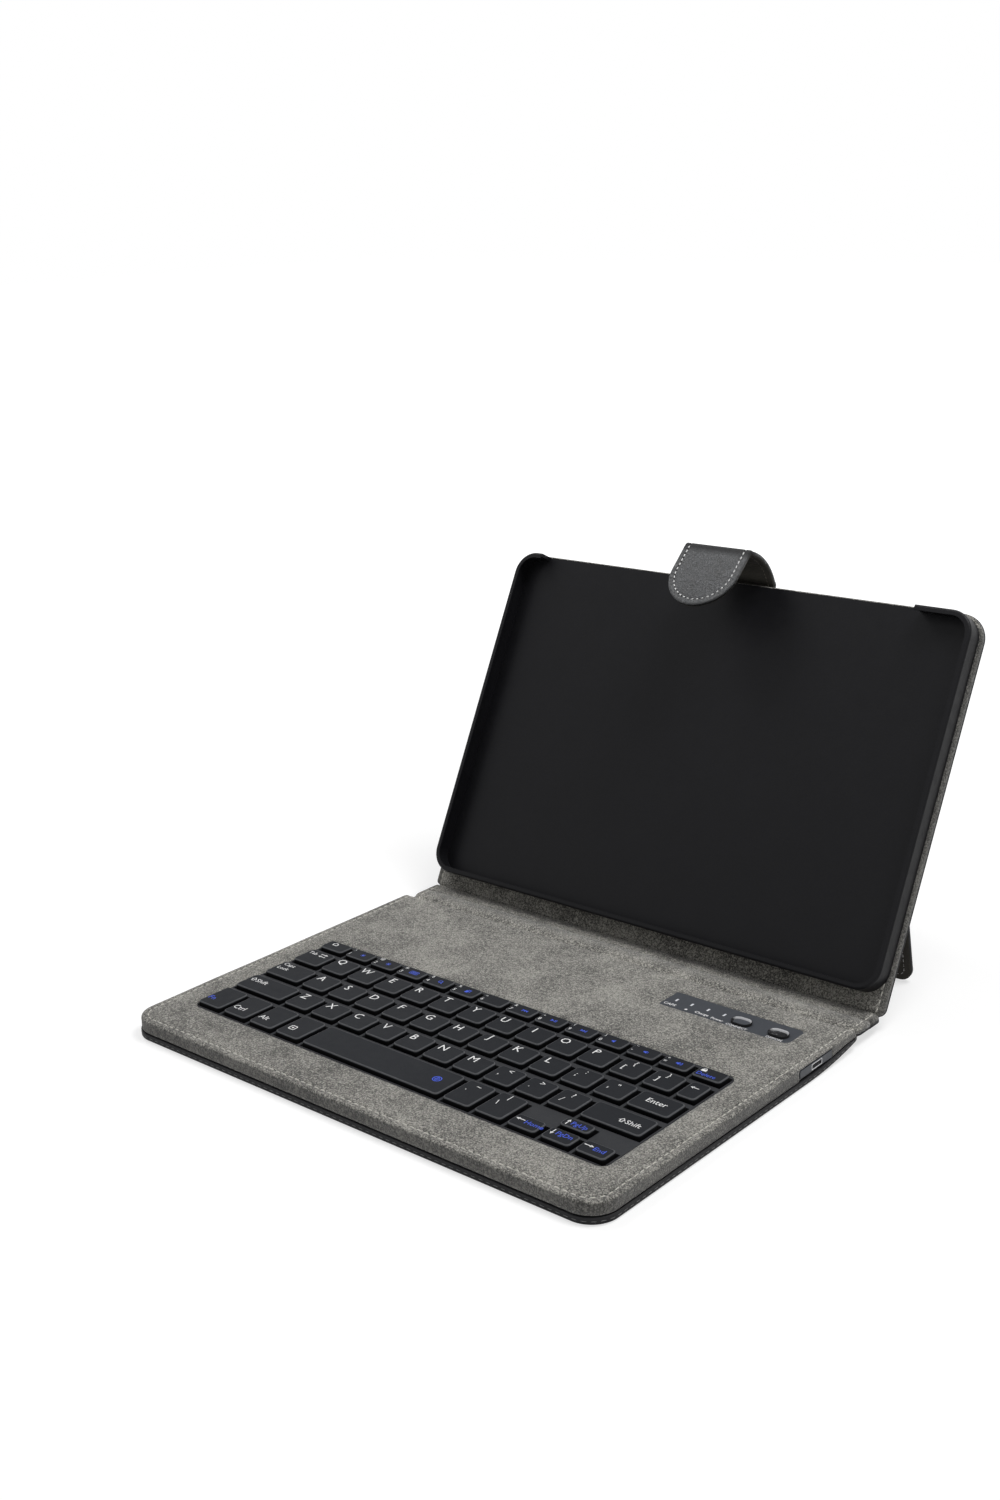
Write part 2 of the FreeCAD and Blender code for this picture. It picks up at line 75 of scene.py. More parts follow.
def lines(low, high, step, asked):
    # even grid lines between two ends, plus the ones asked for; an even line close above another gives way
    count = max(2, int(round((high - low) / step)) + 1)
    asked = np.round(np.r_[low, high, asked], 4)
    inside = asked[(asked > low) & (asked < high)]
    found = np.unique(np.r_[np.round(np.linspace(low, high, count), 4), inside])
    crowded = np.r_[False, np.diff(found) < fine["closest"]]
    return found[~crowded | np.isin(found, asked)]


def pressCorner(x, v, half, length, radius, endRadius):
    # in a corner block the square grid is pressed onto a quarter disc: a*sqrt(1-b*b/2), b*sqrt(1-a*a/2)
    # returns the pressed place and the outward direction on the rim
    side, touch = np.sign(x), fine["touch"]
    outX = np.where(np.abs(x) > half - touch, side, 0.0)
    outV = np.where(v > length - touch, 1.0, np.where(v < touch, -1.0, 0.0))
    for r, atEnd in ((radius, False), (endRadius, True)):
        if r == 0:
            continue
        a = (np.abs(x) - (half - r)) / r
        b = (v - (length - r)) / r if atEnd else (r - v) / r
        inside = (a > 0) & (b > 0)
        a, b = np.clip(a, 0, 1), np.clip(b, 0, 1)
        pa, pb = a * np.sqrt(1 - b * b / 2), b * np.sqrt(1 - a * a / 2)
        rim = inside & (np.maximum(a, b) > 1 - touch)
        x = np.where(inside, side * (half - r + r * pa), x)
        v = np.where(inside, (length - r + r * pb) if atEnd else (r - r * pb), v)
        outX = np.where(rim, side * pa, outX)
        outV = np.where(rim, pb if atEnd else -pb, outV)
    return x, v, outX, outV


def rimPlaces(nx, nv, closed):
    # grid places in order round the rim: down the left side, along the free edge, up the right side,
    # and back along the far edge if that is free too
    i = [np.zeros(nv, int), np.arange(1, nx), np.full(nv - 1, nx - 1)]
    j = [np.arange(nv)[::-1], np.zeros(nx - 1, int), np.arange(1, nv)]
    if closed:
        i.append(np.arange(nx - 2, 0, -1))
        j.append(np.full(nx - 2, nv - 1))
    return np.concatenate(i), np.concatenate(j)


def holeCorners(x0, x1, v0, v1, rLeft, rRight):
    # each square corner of a hole is filled back to a quarter round by a fan of triangles about the corner
    steps = fine["holeSteps"]
    turn = np.linspace(0, quarter, steps + 1)
    near = 1 + np.arange(steps)
    for cx, cv, sx, sv in ((x0, v0, 1, 1), (x1, v0, -1, 1), (x1, v1, -1, -1), (x0, v1, 1, -1)):
        r = rLeft if sx > 0 else rRight
        x = np.r_[cx, cx + sx * r * (1 - np.sin(turn))]
        v = np.r_[cv, cv + sv * r * (1 - np.cos(turn))]
        pair = (near, near + 1) if sx * sv > 0 else (near + 1, near)
        yield x, v, np.stack([np.zeros_like(near), *pair], -1)


def softSheet(p):
    # a flat or bent sheet on an (x, v) grid with rounded-over edges: its rim is carried outward and down
    # a quarter round, then down a wall to the back height and in under it; v = 0 is the free edge itself
    # returns points, faces and how far round the edge each point is
    rim, closed, face = p["rim"], p.get("closed", False), p["face"]
    wide = p.get("wide", np.ones_like)

    def surface(x, v, h):
        return np.stack(p["place"](x * wide(v), v, h), -1)

    half, length = p["half"] - rim, p["length"] - rim * (2 if closed else 1)
    corner = max(p["radius"] - rim, fine["leastCorner"])
    endCorner = max(p["endRadius"] - rim, fine["leastCorner"]) if closed else 0
    share = np.linspace(0, 1, fine["cornerLines"])
    xs = lines(-half, half, p["step"], np.r_[half - corner * share, corner * share - half, p["linesX"]])
    vs = lines(0, length, p["step"], np.r_[corner * share, length - endCorner * share, p["linesV"] - rim])
    gx, gv = np.meshgrid(xs, vs, indexing="ij")
    x, v, outX, outV = pressCorner(gx, gv, half, length, corner, endCorner)
    gv, v = gv + rim, v + rim
    nx, nv = gx.shape
    around = rimPlaces(nx, nv, closed)
    lx, lv, lox, lov = x[around], v[around], outX[around], outV[around]
    if not closed:
        lov = np.where(around[1] == nv - 1, 0, lov)

    # rings of the rim: distance outward, share of the round, share of the wall
    arc = np.linspace(0, quarter, fine["roundSteps"] + 1)[1:]
    steps = [(rim * math.sin(a), 1 - math.cos(a), 0.0) for a in arc]
    steps += [(rim, 1.0, t) for t in p.get("wall", (0.5, 1.0))]
    steps += [(rim - o, 1.0, 1.0) for o in p["tuck"]]
    top, low = face(lx, lv), p["back"](lx, lv)
    down, depth = np.sign(low - top), np.abs(low - top)
    turn = np.minimum(rim, depth * fine["roundShare"])
    points, edge = [surface(x, v, face(x, v)).reshape(-1, 3)], [np.zeros(nx * nv)]
    for out, fall, wall in steps:
        height = top + down * (turn * fall + (depth - turn) * wall)
        points.append(surface(lx + lox * out, lv + lov * out, height))
        edge.append(np.full(len(lx), (fall + wall) / 2))

    index = np.arange(nx * nv).reshape(nx, nv)
    cells = np.stack([index[:-1, :-1], index[1:, :-1], index[1:, 1:], index[:-1, 1:]], -1).reshape(-1, 4)
    middleX, middleV = ((g[:-1, :-1] + g[1:, 1:]).ravel() / 2 for g in (gx, gv))
    keep = np.ones(len(cells), bool)
    triangles = [np.empty((0, 3), int)]
    for hole in p.get("holes", ()):
        x0, x1, v0, v1 = hole[:4]
        keep &= ~((middleX > x0) & (middleX < x1) & (middleV > v0) & (middleV < v1))
        for fx, fv, fan in holeCorners(*hole):
            triangles.append(sum(map(len, points)) + fan)
            points.append(surface(fx, fv, face(fx, fv)))
            edge.append(np.zeros(len(fx)))
    quads, count = [cells[keep]], len(lx)
    rings = [index[around]] + [nx * nv + k * count + np.arange(count) for k in range(len(steps))]
    for a, b in zip(rings, rings[1:]):
        band = np.stack([a, b, np.roll(b, -1), np.roll(a, -1)], -1)
        quads.append(band if closed else band[:-1])
    quads, triangles, points = np.concatenate(quads), np.concatenate(triangles), np.concatenate(points)
    if p.get("flip"):
        quads, triangles = quads[:, ::-1], triangles[:, ::-1]
    used = np.zeros(len(points), bool)
    used[np.r_[quads.ravel(), triangles.ravel()]] = True
    renumber = np.cumsum(used) - 1
    return points[used], renumber[quads].tolist() + renumber[triangles].tolist(), np.concatenate(edge)[used]


def addPiece(name, points, faces, material, slot, smooth=True, edge=None):
    # millimetres become an object at the origin; the edge value stays on its points for the finish to read
    mesh = bpy.data.meshes.new(name)
    mesh.from_pydata((points * mm).tolist(), [], faces)
    mesh.polygons.foreach_set("use_smooth", np.full(len(mesh.polygons), smooth))
    if edge is not None:
        mesh.attributes.new("edge", "FLOAT", "POINT").data.foreach_set("value", edge.astype(np.float32))
    mesh.update()
    piece = bpy.data.objects.new(name, mesh)
    bpy.context.scene.collection.objects.link(piece)
    mesh.materials.append(material)
    return piece


def addSheet(name, sheet, material, slot):
    # a soft sheet, thickened inwards
    points, faces, edge = softSheet(sheet)
    if "shade" in sheet:
        edge = sheet["shade"](points, edge)
    piece = addPiece(name, points, faces, material, slot, edge=edge)
    wall = piece.modifiers.new("thickness", "SOLIDIFY")
    wall.thickness, wall.offset, wall.use_even_offset = sheet["thick"] * mm, -1, False
    return piece


# places

def rise(s):
    # height of the underside's arc to the spine: radius less the root of radius squared less run squared
    run, climb = folio["tailEnd"] - folio["tailStart"], folio["tailRise"]
    radius = (run ** 2 + climb ** 2) / (2 * climb)
    return radius - np.sqrt(radius ** 2 - np.clip(s - folio["tailStart"], 0, run) ** 2)


def onFolio(x, s, h):
    # h is measured from the leather's middle: straight up on base and spine, square to the leaning panel,
    # with a round bend of fixed radius at the second crease
    tilt, bend, crease = folio["tilt"], folio["bend"], folio["creaseTwo"]
    reach = bend * math.tan(tilt / 2)
    start, end = crease - reach, crease + reach
    turn = tilt * np.clip((s - start) / (end - start), 0, 1)
    y = np.where(s <= start, s, start + (bend - h) * np.sin(turn))
    z = np.where(s <= start, halfLeather + rise(s) + h, creaseLevel + bend - (bend - h) * np.cos(turn))
    past = np.maximum(s - end, 0)
    return x, y + past * math.cos(tilt), z + past * math.sin(tilt)


def panelPoint(u, n):
    # y and z of a point u up the leaning panel from its crease and n in front of its leather
    c, s = math.cos(folio["tilt"]), math.sin(folio["tilt"])
    return np.array([folio["creaseTwo"] + u * c - n * s, creaseLevel + u * s + n * c])


def metres(point):
    # a point of the middle plane in the frame's own unit
    return (0.0, float(point[0]) * mm, float(point[1]) * mm)


# finishes

class Knot:
    # wraps one socket, so that sums and products of sockets are written as plain maths
    def __init__(self, tree, socket):
        self.tree, self.socket = tree, socket

    def node(self, kind, settings=None, out=0, **inputs):
        # a new node, set up and fed; i0, i1 and so on name an input by its place
        made = self.tree.nodes.new(kind)
        for key, value in (settings or {}).items():
            setattr(made, key, value)
        for key, value in inputs.items():
            socket = made.inputs[int(key[1:]) if key[1:].isdigit() else key.replace("_", " ")]
            if isinstance(value, Knot):
                self.tree.links.new(value.socket, socket)
            else:
                socket.default_value = value
        return Knot(self.tree, made.outputs[out])

    def maths(self, operation, other=0.0, swap=False):
        # a maths node on this value and another, in either order
        first, second = (other, self) if swap else (self, other)
        return self.node("ShaderNodeMath", {"operation": operation}, i0=first, i1=second)

    def __add__(self, other):
        return self.maths("ADD", other)

    def __radd__(self, other):
        return self.maths("ADD", other, True)

    def __sub__(self, other):
        return self.maths("SUBTRACT", other)

    def __rsub__(self, other):
        return self.maths("SUBTRACT", other, True)

    def __mul__(self, other):
        return self.maths("MULTIPLY", other)

    def __rmul__(self, other):
        return self.maths("MULTIPLY", other, True)

    def vector(self, operation, out=0, **inputs):
        # vector maths on this value
        return self.node("ShaderNodeVectorMath", {"operation": operation}, out, i0=self, **inputs)

    def ramp(self, low, high, a=0.0, b=1.0):
        # low to high is carried onto a to b and held at both ends
        return self.node("ShaderNodeMapRange", {"clamp": True}, Value=self, From_Min=low, From_Max=high,
                         To_Min=a, To_Max=b)

    def mix(self, first, second):
        # this value picks between two colours
        first, second = (c if isinstance(c, Knot) else (*c, 1.0) for c in (first, second))
        return self.node("ShaderNodeMix", {"data_type": "RGBA"}, 2, Factor=self, i6=first, i7=second)

    def noise(self, scale, detail=2.0, rough=0.5, stretch=None, distortion=0.0):
        # clouds at this place, drawn out where stretch is small
        where = self.node("ShaderNodeMapping", Vector=self, Scale=stretch) if stretch else self
        return self.node("ShaderNodeTexNoise", Vector=where, Scale=scale, Detail=detail, Roughness=rough,
                         Distortion=distortion)

    def cells(self, scale, feature="DISTANCE_TO_EDGE"):
        # a net of uneven cells at this place
        return self.node("ShaderNodeTexVoronoi", {"feature": feature}, Vector=self, Scale=scale)

    def shifted(self, amount, scale):
        # the same place pushed about by a noise
        push = self.node("ShaderNodeTexNoise", None, 1, Vector=self, Scale=scale, Detail=3.0)
        centred = push.vector("SUBTRACT", i1=(0.5, 0.5, 0.5))
        return self.vector("ADD", i1=centred.vector("SCALE", Scale=amount))


def finish(name, paint, **constants):
    # paint gets the place on the piece and returns what varies; constants go straight onto the shader
    material = bpy.data.materials.new(name)
    material.use_nodes = True
    tree = material.node_tree
    shader = next(n for n in tree.nodes if n.type == "BSDF_PRINCIPLED")
    for key, value in constants.items():
        shader.inputs[key.replace("_", " ")].default_value = value
    place = Knot(tree, tree.nodes.new("ShaderNodeTexCoord").outputs["Object"])
    made = paint(place)
    if "bump" in made:
        height, depth, strength = made["bump"]
        bump = place.node("ShaderNodeBump", Strength=strength, Distance=depth, Height=height)
        tree.links.new(bump.socket, shader.inputs["Normal"])
    for key, socket in (("colour", "Base Color"), ("rough", "Roughness")):
        if key in made:
            tree.links.new(made[key].socket, shader.inputs[socket])
    material.diffuse_color = (*made["plain"], 1.0)
    return material


def edgeOf(place):
    # the edge value that addPiece left on the points
    return place.node("ShaderNodeAttribute", {"attribute_name": "edge"}, 2)


# the last tone is painted shade, for the cloth's turned-down walls
suedeTone = {"crack": (0.052, 0.0505, 0.0465), "nap": (0.39, 0.378, 0.342), "turnedShade": (0.05, 0.049, 0.047),
             "plain": (0.2, 0.194, 0.176)}


def suedePaint(place):
    # nap parted by fine dark cracks where a noise crosses its middle, flecks, brushed patches, and painted
    # shade where the cloth turns down
    t = suedeTone
    nap = place.shifted(0.0008, 700).noise(760, 2, 0.55)
    crack = (nap - 0.5).maths("ABSOLUTE").ramp(0.0, 0.15)
    fleck = place.noise(1900, 1, 0.5)
    cloud = place.shifted(0.02, 40).noise(58, 5, 0.6)
    patch = place.noise(17, 2, 0.5)
    shade = 0.065 + crack * 0.92 + (fleck - 0.5) * 1.8 + (cloud - 0.5) * 1.2 + (patch - 0.5) * 0.6
    edge = edgeOf(place)
    # painted shade: darker on the turned-down walls, and darker still where the edge value passes one
    turnedShade = edge.ramp(0.12, 0.45, 0.0, 0.6) + edge.ramp(1.0, 2.0, 0.0, 0.2)
    tone = turnedShade.mix(shade.ramp(0.0, 1.0).mix(t["crack"], t["nap"]), t["turnedShade"])
    return {"colour": tone, "bump": (crack * 0.5 + fleck * 0.4, 0.0005, 0.6), "plain": t["plain"]}


# the edge's grey tone is wear together with a painted sheen
leatherTone = {"dark": (0.0034, 0.0034, 0.0042), "rubbed": (0.026, 0.026, 0.028),
               "wornAndSheen": (0.032, 0.032, 0.034), "plain": (0.012, 0.012, 0.013)}


def leatherPaint(place):
    # black, with patches of fine streaks in two directions and rubbed clouds, greyer at the edge from wear
    # and a painted sheen
    t = leatherTone
    bent = place.shifted(0.016, 26)
    cloud = place.noise(16, 3, 0.6)
    first = bent.noise(560, 4, 0.65, stretch=(0.15, 1.0, 1.0)).ramp(0.5, 0.74)
    first = first * place.shifted(0.02, 30).noise(48, 3, 0.6).ramp(0.48, 0.7)
    second = place.shifted(0.03, 18).noise(480, 4, 0.65, stretch=(1.0, 0.2, 0.2)).ramp(0.5, 0.74)
    second = second * bent.noise(36, 3, 0.6).ramp(0.5, 0.72)
    streak = first + second
    grain = place.cells(1500, "F1")
    rubbed = (cloud.ramp(0.4, 0.75) * 0.3 + streak * 0.7).ramp(0.0, 1.0)
    # edge wear and painted sheen, greyer towards the edge
    edgeWearAndSheen = edgeOf(place).ramp(0.15, 0.75)
    tone = (edgeWearAndSheen * 0.8).mix(rubbed.mix(t["dark"], t["rubbed"]), t["wornAndSheen"])
    rough = 0.44 + cloud.ramp(0.3, 0.7) * 0.12 - streak * 0.06 + grain * 0.06
    return {"colour": tone, "rough": rough, "bump": (grain * 0.15 + streak * 0.5 + cloud * 0.6, 0.0004, 0.35),
            "plain": t["plain"]}


def backingPaint(place):
    # dark nap over slow clouds
    nap = place.noise(1100, 3, 0.6)
    cloud = place.noise(50, 3, 0.6)
    tone = (nap.ramp(0.3, 0.7) * 0.6 + cloud * 0.4).mix((0.008, 0.007, 0.005), (0.034, 0.03, 0.022))
    return {"colour": tone, "bump": (nap, 0.0003, 0.5), "plain": (0.02, 0.018, 0.015)}


# line is a painted highlight on the rounded edge, side is painted shade on the walls
keyTone = {"dark": (0.019, 0.02, 0.0228), "pale": (0.03, 0.0317, 0.0355), "line": (0.13, 0.133, 0.14),
           "side": (0.004, 0.004, 0.0045), "plain": (0.022, 0.023, 0.025)}


def keyPaint(place):
    # flat top, a paler line round its edge that is a painted highlight, rubbed in places, and sides painted
    # dark as shade
    t = keyTone
    pits = place.noise(2300, 2, 0.6)
    cloud = place.noise(75, 3, 0.6)
    rubbed = place.shifted(0.006, 120).noise(260, 4, 0.7)
    edge = edgeOf(place)
    # painted highlight along the rounded top edge
    line = edge.ramp(0.2, 0.5) * edge.ramp(0.5, 0.75, 1.0, 0.0)
    tone = (pits.ramp(0.3, 0.7) * 0.5 + cloud * 0.5).mix(t["dark"], t["pale"])
    tone = (line * (0.5 + rubbed * 0.5)).mix(tone, t["line"])
    # painted shade on the sides
    tone = edge.ramp(0.6, 0.95).mix(tone, t["side"])
    rough = 0.46 + (rubbed.ramp(0.35, 0.7) - 0.5) * 0.12
    return {"colour": tone, "rough": rough, "bump": (pits, 0.00006, 0.4), "plain": t["plain"]}


def slopeHighlightPaint(place):
    # the far side of a well carries a painted pale highlight, the near side painted shade
    rubbed = place.noise(900, 2, 0.6)
    tone = edgeOf(place).ramp(0.5, 0.8).mix((0.012, 0.012, 0.013), (0.5, 0.505, 0.52))
    return {"colour": tone, "rough": 0.25 + rubbed * 0.15, "plain": (0.3, 0.3, 0.31)}


def metalPaint(place):
    # fine brushing drawn out along x
    brushed = place.noise(700, 3, 0.6, stretch=(0.1, 1.0, 1.0))
    tone = brushed.ramp(0.3, 0.7).mix((0.45, 0.45, 0.46), (0.72, 0.72, 0.73))
    return {"colour": tone, "rough": 0.26 + brushed * 0.2, "plain": (0.6, 0.6, 0.61)}


def boardPaint(place):
    # pressed fibre
    fibre = place.noise(400, 4, 0.7)
    tone = fibre.ramp(0.3, 0.7).mix((0.26, 0.24, 0.2), (0.4, 0.38, 0.34))
    return {"colour": tone, "bump": (fibre, 0.0002, 0.4), "plain": (0.33, 0.31, 0.28)}


def circuitPaint(place):
    # paler tracks along the borders of cells
    tracks = place.cells(500).ramp(0.0, 0.05, 0.7, 0.0)
    return {"colour": tracks.mix((0.02, 0.12, 0.05), (0.08, 0.26, 0.12)), "plain": (0.03, 0.16, 0.07)}


def moulded(name, dark, pale, rough, shine=0.5, scale=2200, depth=0.00006):
    # plastic with fine pits over slow clouds, rubbed smoother in places
    def paint(place):
        pits = place.noise(scale, 2, 0.6)
        cloud = place.noise(60, 3, 0.6)
        rubbed = place.shifted(0.01, 90).noise(220, 4, 0.7)
        tone = (pits.ramp(0.3, 0.7) * 0.5 + cloud * 0.5).mix(dark, pale)
        return {"colour": tone, "rough": rough + (rubbed.ramp(0.35, 0.7) - 0.5) * 0.1,
                "bump": (pits, depth, 0.4), "plain": dark}
    return finish(name, paint, Specular_IOR_Level=shine)


def thread(name, dark, pale, rough):
    # twisted yarn, soiled in slow patches
    def paint(place):
        twist = place.noise(2600, 2, 0.6)
        soil = place.noise(160, 3, 0.6)
        tone = (twist.ramp(0.3, 0.7) * 0.6 + soil * 0.4).mix(dark, pale)
        return {"colour": tone, "bump": (twist, 0.0002, 0.5), "plain": pale}
    return finish(name, paint, Roughness=rough)


def ink(name, dark, pale):
    # print that is a little worn
    def paint(place):
        return {"colour": place.noise(3000, 2, 0.6).ramp(0.3, 0.7).mix(dark, pale), "plain": pale}
    return finish(name, paint, Roughness=0.6)


suede = finish("grey suede", suedePaint, Roughness=0.95, Sheen_Weight=0.25, Sheen_Roughness=0.6,
               Specular_IOR_Level=0.15)
blackLeather = finish("black leather", leatherPaint, Specular_IOR_Level=0.1)
strapBacking = finish("dark backing", backingPaint, Roughness=0.9)
keyPlastic = finish("key plastic", keyPaint, Specular_IOR_Level=0.02)
# the slope's pale far side is a painted highlight
paintedHighlightRim = finish("painted highlight rim", slopeHighlightPaint)
steel = finish("bright steel", metalPaint, Metallic=1.0)
stiffBoard = finish("stiff board", boardPaint, Roughness=0.9)
circuit = finish("circuit board", circuitPaint, Roughness=0.5)
platePlastic = moulded("key plate plastic", (0.028, 0.029, 0.032), (0.042, 0.0435, 0.047), 0.55, 0.08)
trayPlastic = moulded("tray plastic", (0.005, 0.005, 0.006), (0.009, 0.009, 0.0105), 0.42, 0.12, 1500)
stripPlastic = moulded("slate plastic", (0.046, 0.05, 0.058), (0.062, 0.067, 0.077), 0.42, 0.25)
buttonPlastic = moulded("button plastic", (0.014, 0.014, 0.016), (0.022, 0.022, 0.024), 0.18,
                        scale=1800, depth=0.00003)
casePlastic = moulded("module plastic", (0.012, 0.012, 0.013), (0.018, 0.018, 0.019), 0.6, 0.1)
lensPlastic = moulded("light lens", (0.6, 0.62, 0.66), (0.8, 0.82, 0.85), 0.2)
paleThread = thread("pale thread", (0.44, 0.43, 0.39), (0.74, 0.72, 0.66), 0.8)
strapThread = thread("strap thread", (0.5, 0.5, 0.5), (0.85, 0.85, 0.84), 0.75)
darkThread = thread("dark thread", (0.06, 0.055, 0.045), (0.14, 0.13, 0.11), 0.8)
# dark dashes between the stitches stand in for the needle holes: painted shade
needleHoleShade = thread("needle hole", (0.003, 0.003, 0.003), (0.008, 0.008, 0.008), 0.9)
edgeThread = thread("edge thread", (0.1, 0.1, 0.1), (0.24, 0.24, 0.24), 0.75)
greyThread = thread("grey thread", (0.3, 0.3, 0.3), (0.6, 0.6, 0.6), 0.75)
inks = {"white": ink("white ink", (0.7, 0.7, 0.7), (0.88, 0.88, 0.88)),
        "blue": ink("blue ink", (0.03, 0.075, 0.55), (0.05, 0.11, 0.72))}

# CAD nodes that keep their own shape
ownShape = {"keyboard_top_plate": platePlastic, "tablet_tray": trayPlastic, "port_bezel": stripPlastic,
            "charging_socket": steel, "indicator_lenses": lensPlastic, "keyboard_bottom_case": casePlastic,
            "base_board": stiffBoard, "panel_board": stiffBoard, "spine_board": stiffBoard,
            "stand_board": stiffBoard, "strap_tip_stiffener": stiffBoard, "latch_plate": steel,
            "strap_magnet": steel, "key_backing_plate": steel, "key_membrane": lensPlastic,
            "rubber_dome_sheet": lensPlastic, "battery_cell": steel, "controller_board": circuit}
for name, material in ownShape.items():
    data = nodes[name].data
    data.materials.clear()
    data.materials.append(material)
print("finishes made")


# sewing
stitchShape = {"along": (-1.0, -0.72, -0.25, 0.25, 0.72, 1.0), "fat": (0.45, 0.85, 1.0, 1.0, 0.85, 0.45),
               "sides": 6, "flat": 0.8, "leastCorner": 0.3, "cornerSteps": 24}
besideSeam = (-1.0, -0.5, -0.2, 0.0, 0.2, 0.5, 1.0)


def seamLines(d):
    # grid lines close beside a seam, so that its furrow shows: across the sheet, and in from its free edge
    near = d["seam"] + np.array(d["beside"])
    return np.r_[d["half"] - near, near - d["half"]], near


def distanceToRim(x, v, half, radius):
    # how far a place is inside a U outline with two round corners
    a, b = half - np.abs(x), v
    corner = (a < radius) & (b < radius)
    return np.where(corner, radius - np.hypot(radius - a, radius - b), np.minimum(a, b))


def furrow(inside, d):
    # depth that a seam pulls into the cloth: a bell curve about the seam's distance from the rim
    return d["seamDepth"] * np.exp(-((inside - d["seam"]) / d["seamWidth"]) ** 2)


def rimLine(sheet, inset):
    # the line of a seam, a fixed distance inside the free edge, with quarter rounds at its corners
    half, length, least = sheet["half"] - inset, sheet["length"], stitchShape["leastCorner"]
    r = max(sheet["radius"] - inset, least)
    arc = np.linspace(0, quarter, stitchShape["cornerSteps"])
    c, s = np.cos(arc), np.sin(arc)
    left = np.column_stack([r - half - r * c, inset + r - r * s])
    right = np.column_stack([half - r + r * s, inset + r - r * c])
    if not sheet.get("closed"):
        return np.vstack([(-half, length), left, right, (half, length)])
    q = max(sheet["endRadius"] - inset, least)
    far = length - inset - q
    farRight = np.column_stack([half - q + q * c, far + q * s])
    farLeft = np.column_stack([q - half - q * s, far + q * c])
    return np.vstack([left, right, farRight, farLeft, left[:1]])


def sew(name, sheet, inset, material, slot, dash, pitch, thick, lift=0.12, sink=0.3, shift=0.0):
    # every stitch is a bowed thread whose ends dip into the cloth: rings of points round its middle line
    line = rimLine(sheet, inset)
    run = np.r_[0, np.cumsum(np.hypot(*np.diff(line, axis=0).T))]
    count = int(run[-1] / pitch)
    middle = (np.arange(count) + 0.5 + shift) * run[-1] / count * (1 - shift / count)
    t = np.array(stitchShape["along"])
    at = middle[:, None] + t * dash / 2
    x, v = np.interp(at, run, line[:, 0]), np.interp(at, run, line[:, 1])
    wide, sign = sheet.get("wide", np.ones_like), sheet.get("sign", 1)

    def surface(h):
        return np.stack(sheet["place"](x * wide(v), v, sheet["face"](x, v) + sign * h), -1)

    bow = lift - sink * t ** 4
    centre = surface(bow)
    up = unit(surface(bow + 1) - centre)
    side = np.cross(unit(np.gradient(centre, axis=1)), up)
    rings, sides = len(t), stitchShape["sides"]
    turn = np.arange(sides)[:, None] * 2 * math.pi / sides
    spoke = np.cos(turn) * side[:, :, None] + stitchShape["flat"] * np.sin(turn) * up[:, :, None]
    fat = thick / 2 * np.array(stitchShape["fat"])
    points = (centre[:, :, None] + fat[:, None, None] * spoke).reshape(-1, 3)

    k, j = np.meshgrid(np.arange(rings - 1), np.arange(sides), indexing="ij")
    a, b = k * sides + j, k * sides + (j + 1) % sides
    bands = np.stack([a, a + sides, b + sides, b], -1).reshape(-1, 4)
    ends = np.stack([np.arange(sides), rings * sides - 1 - np.arange(sides)])
    start = np.arange(count)[:, None, None] * rings * sides
    faces = (start + bands).reshape(-1, 4).tolist() + (start + ends).reshape(-1, sides).tolist()
    return addPiece(name, points, faces, material, slot)


# lining and leather of the folio
folioSheet = {"radius": folio["corner"], "step": folio["grid"]}
swellWaves = {"height": 0.05, "across": (0.071, 1.3), "along": (0.093, 0.4), "slant": (0.19, 0.13),
              "slantShare": 0.5}


def swell(x, v):
    # slow unevenness of glued cloth: a wave across times a wave along, plus a share of a slanting one
    d = swellWaves
    crossed = np.sin(x * d["across"][0] + d["across"][1]) * np.sin(v * d["along"][0] + d["along"][1])
    return d["height"] * (crossed + d["slantShare"] * np.sin(x * d["slant"][0] + v * d["slant"][1]))


def baseWidth(s, d):
    # share of the full width along the base and spine: it eases to the spine's width over the first crease,
    # where a bell curve is cut out of it
    past, ease = s - folio["creaseOne"], folio["creaseEase"]
    half = d["half"] + (d["spineHalf"] - d["half"]) * np.clip((past + ease) / (2 * ease), 0, 1)
    return (half - d["creaseCut"] * np.exp(-(past / folio["creaseWidth"]) ** 2)) / d["half"]


panelEdge = {"spine": 1.0, "creaseCut": 0.6, "cutWidth": 1.2, "creaseEase": 1.6, "easeRun": 1.5, "most": 3.2}


def panelWidth(s):
    # share of the full width along the spine and panel: the panel's lower corners are rounded, the spine is
    # a little narrower and eases in further at the crease
    d, r, u = panelEdge, folio["lowCorner"], s - folio["creaseTwo"]
    inside = r - np.clip(u, 0, r)
    cut = r - np.sqrt(np.maximum(r * r - inside * inside, 0))
    spine = d["spine"] + d["creaseCut"] * np.exp(-(u / d["cutWidth"] + 1) ** 2)
    spine = spine + d["creaseEase"] * np.clip(u / d["easeRun"] + 1, 0, 1)
    return 1 - np.minimum(np.where(u > 0, cut, spine), d["most"]) / folio["halfWidth"]


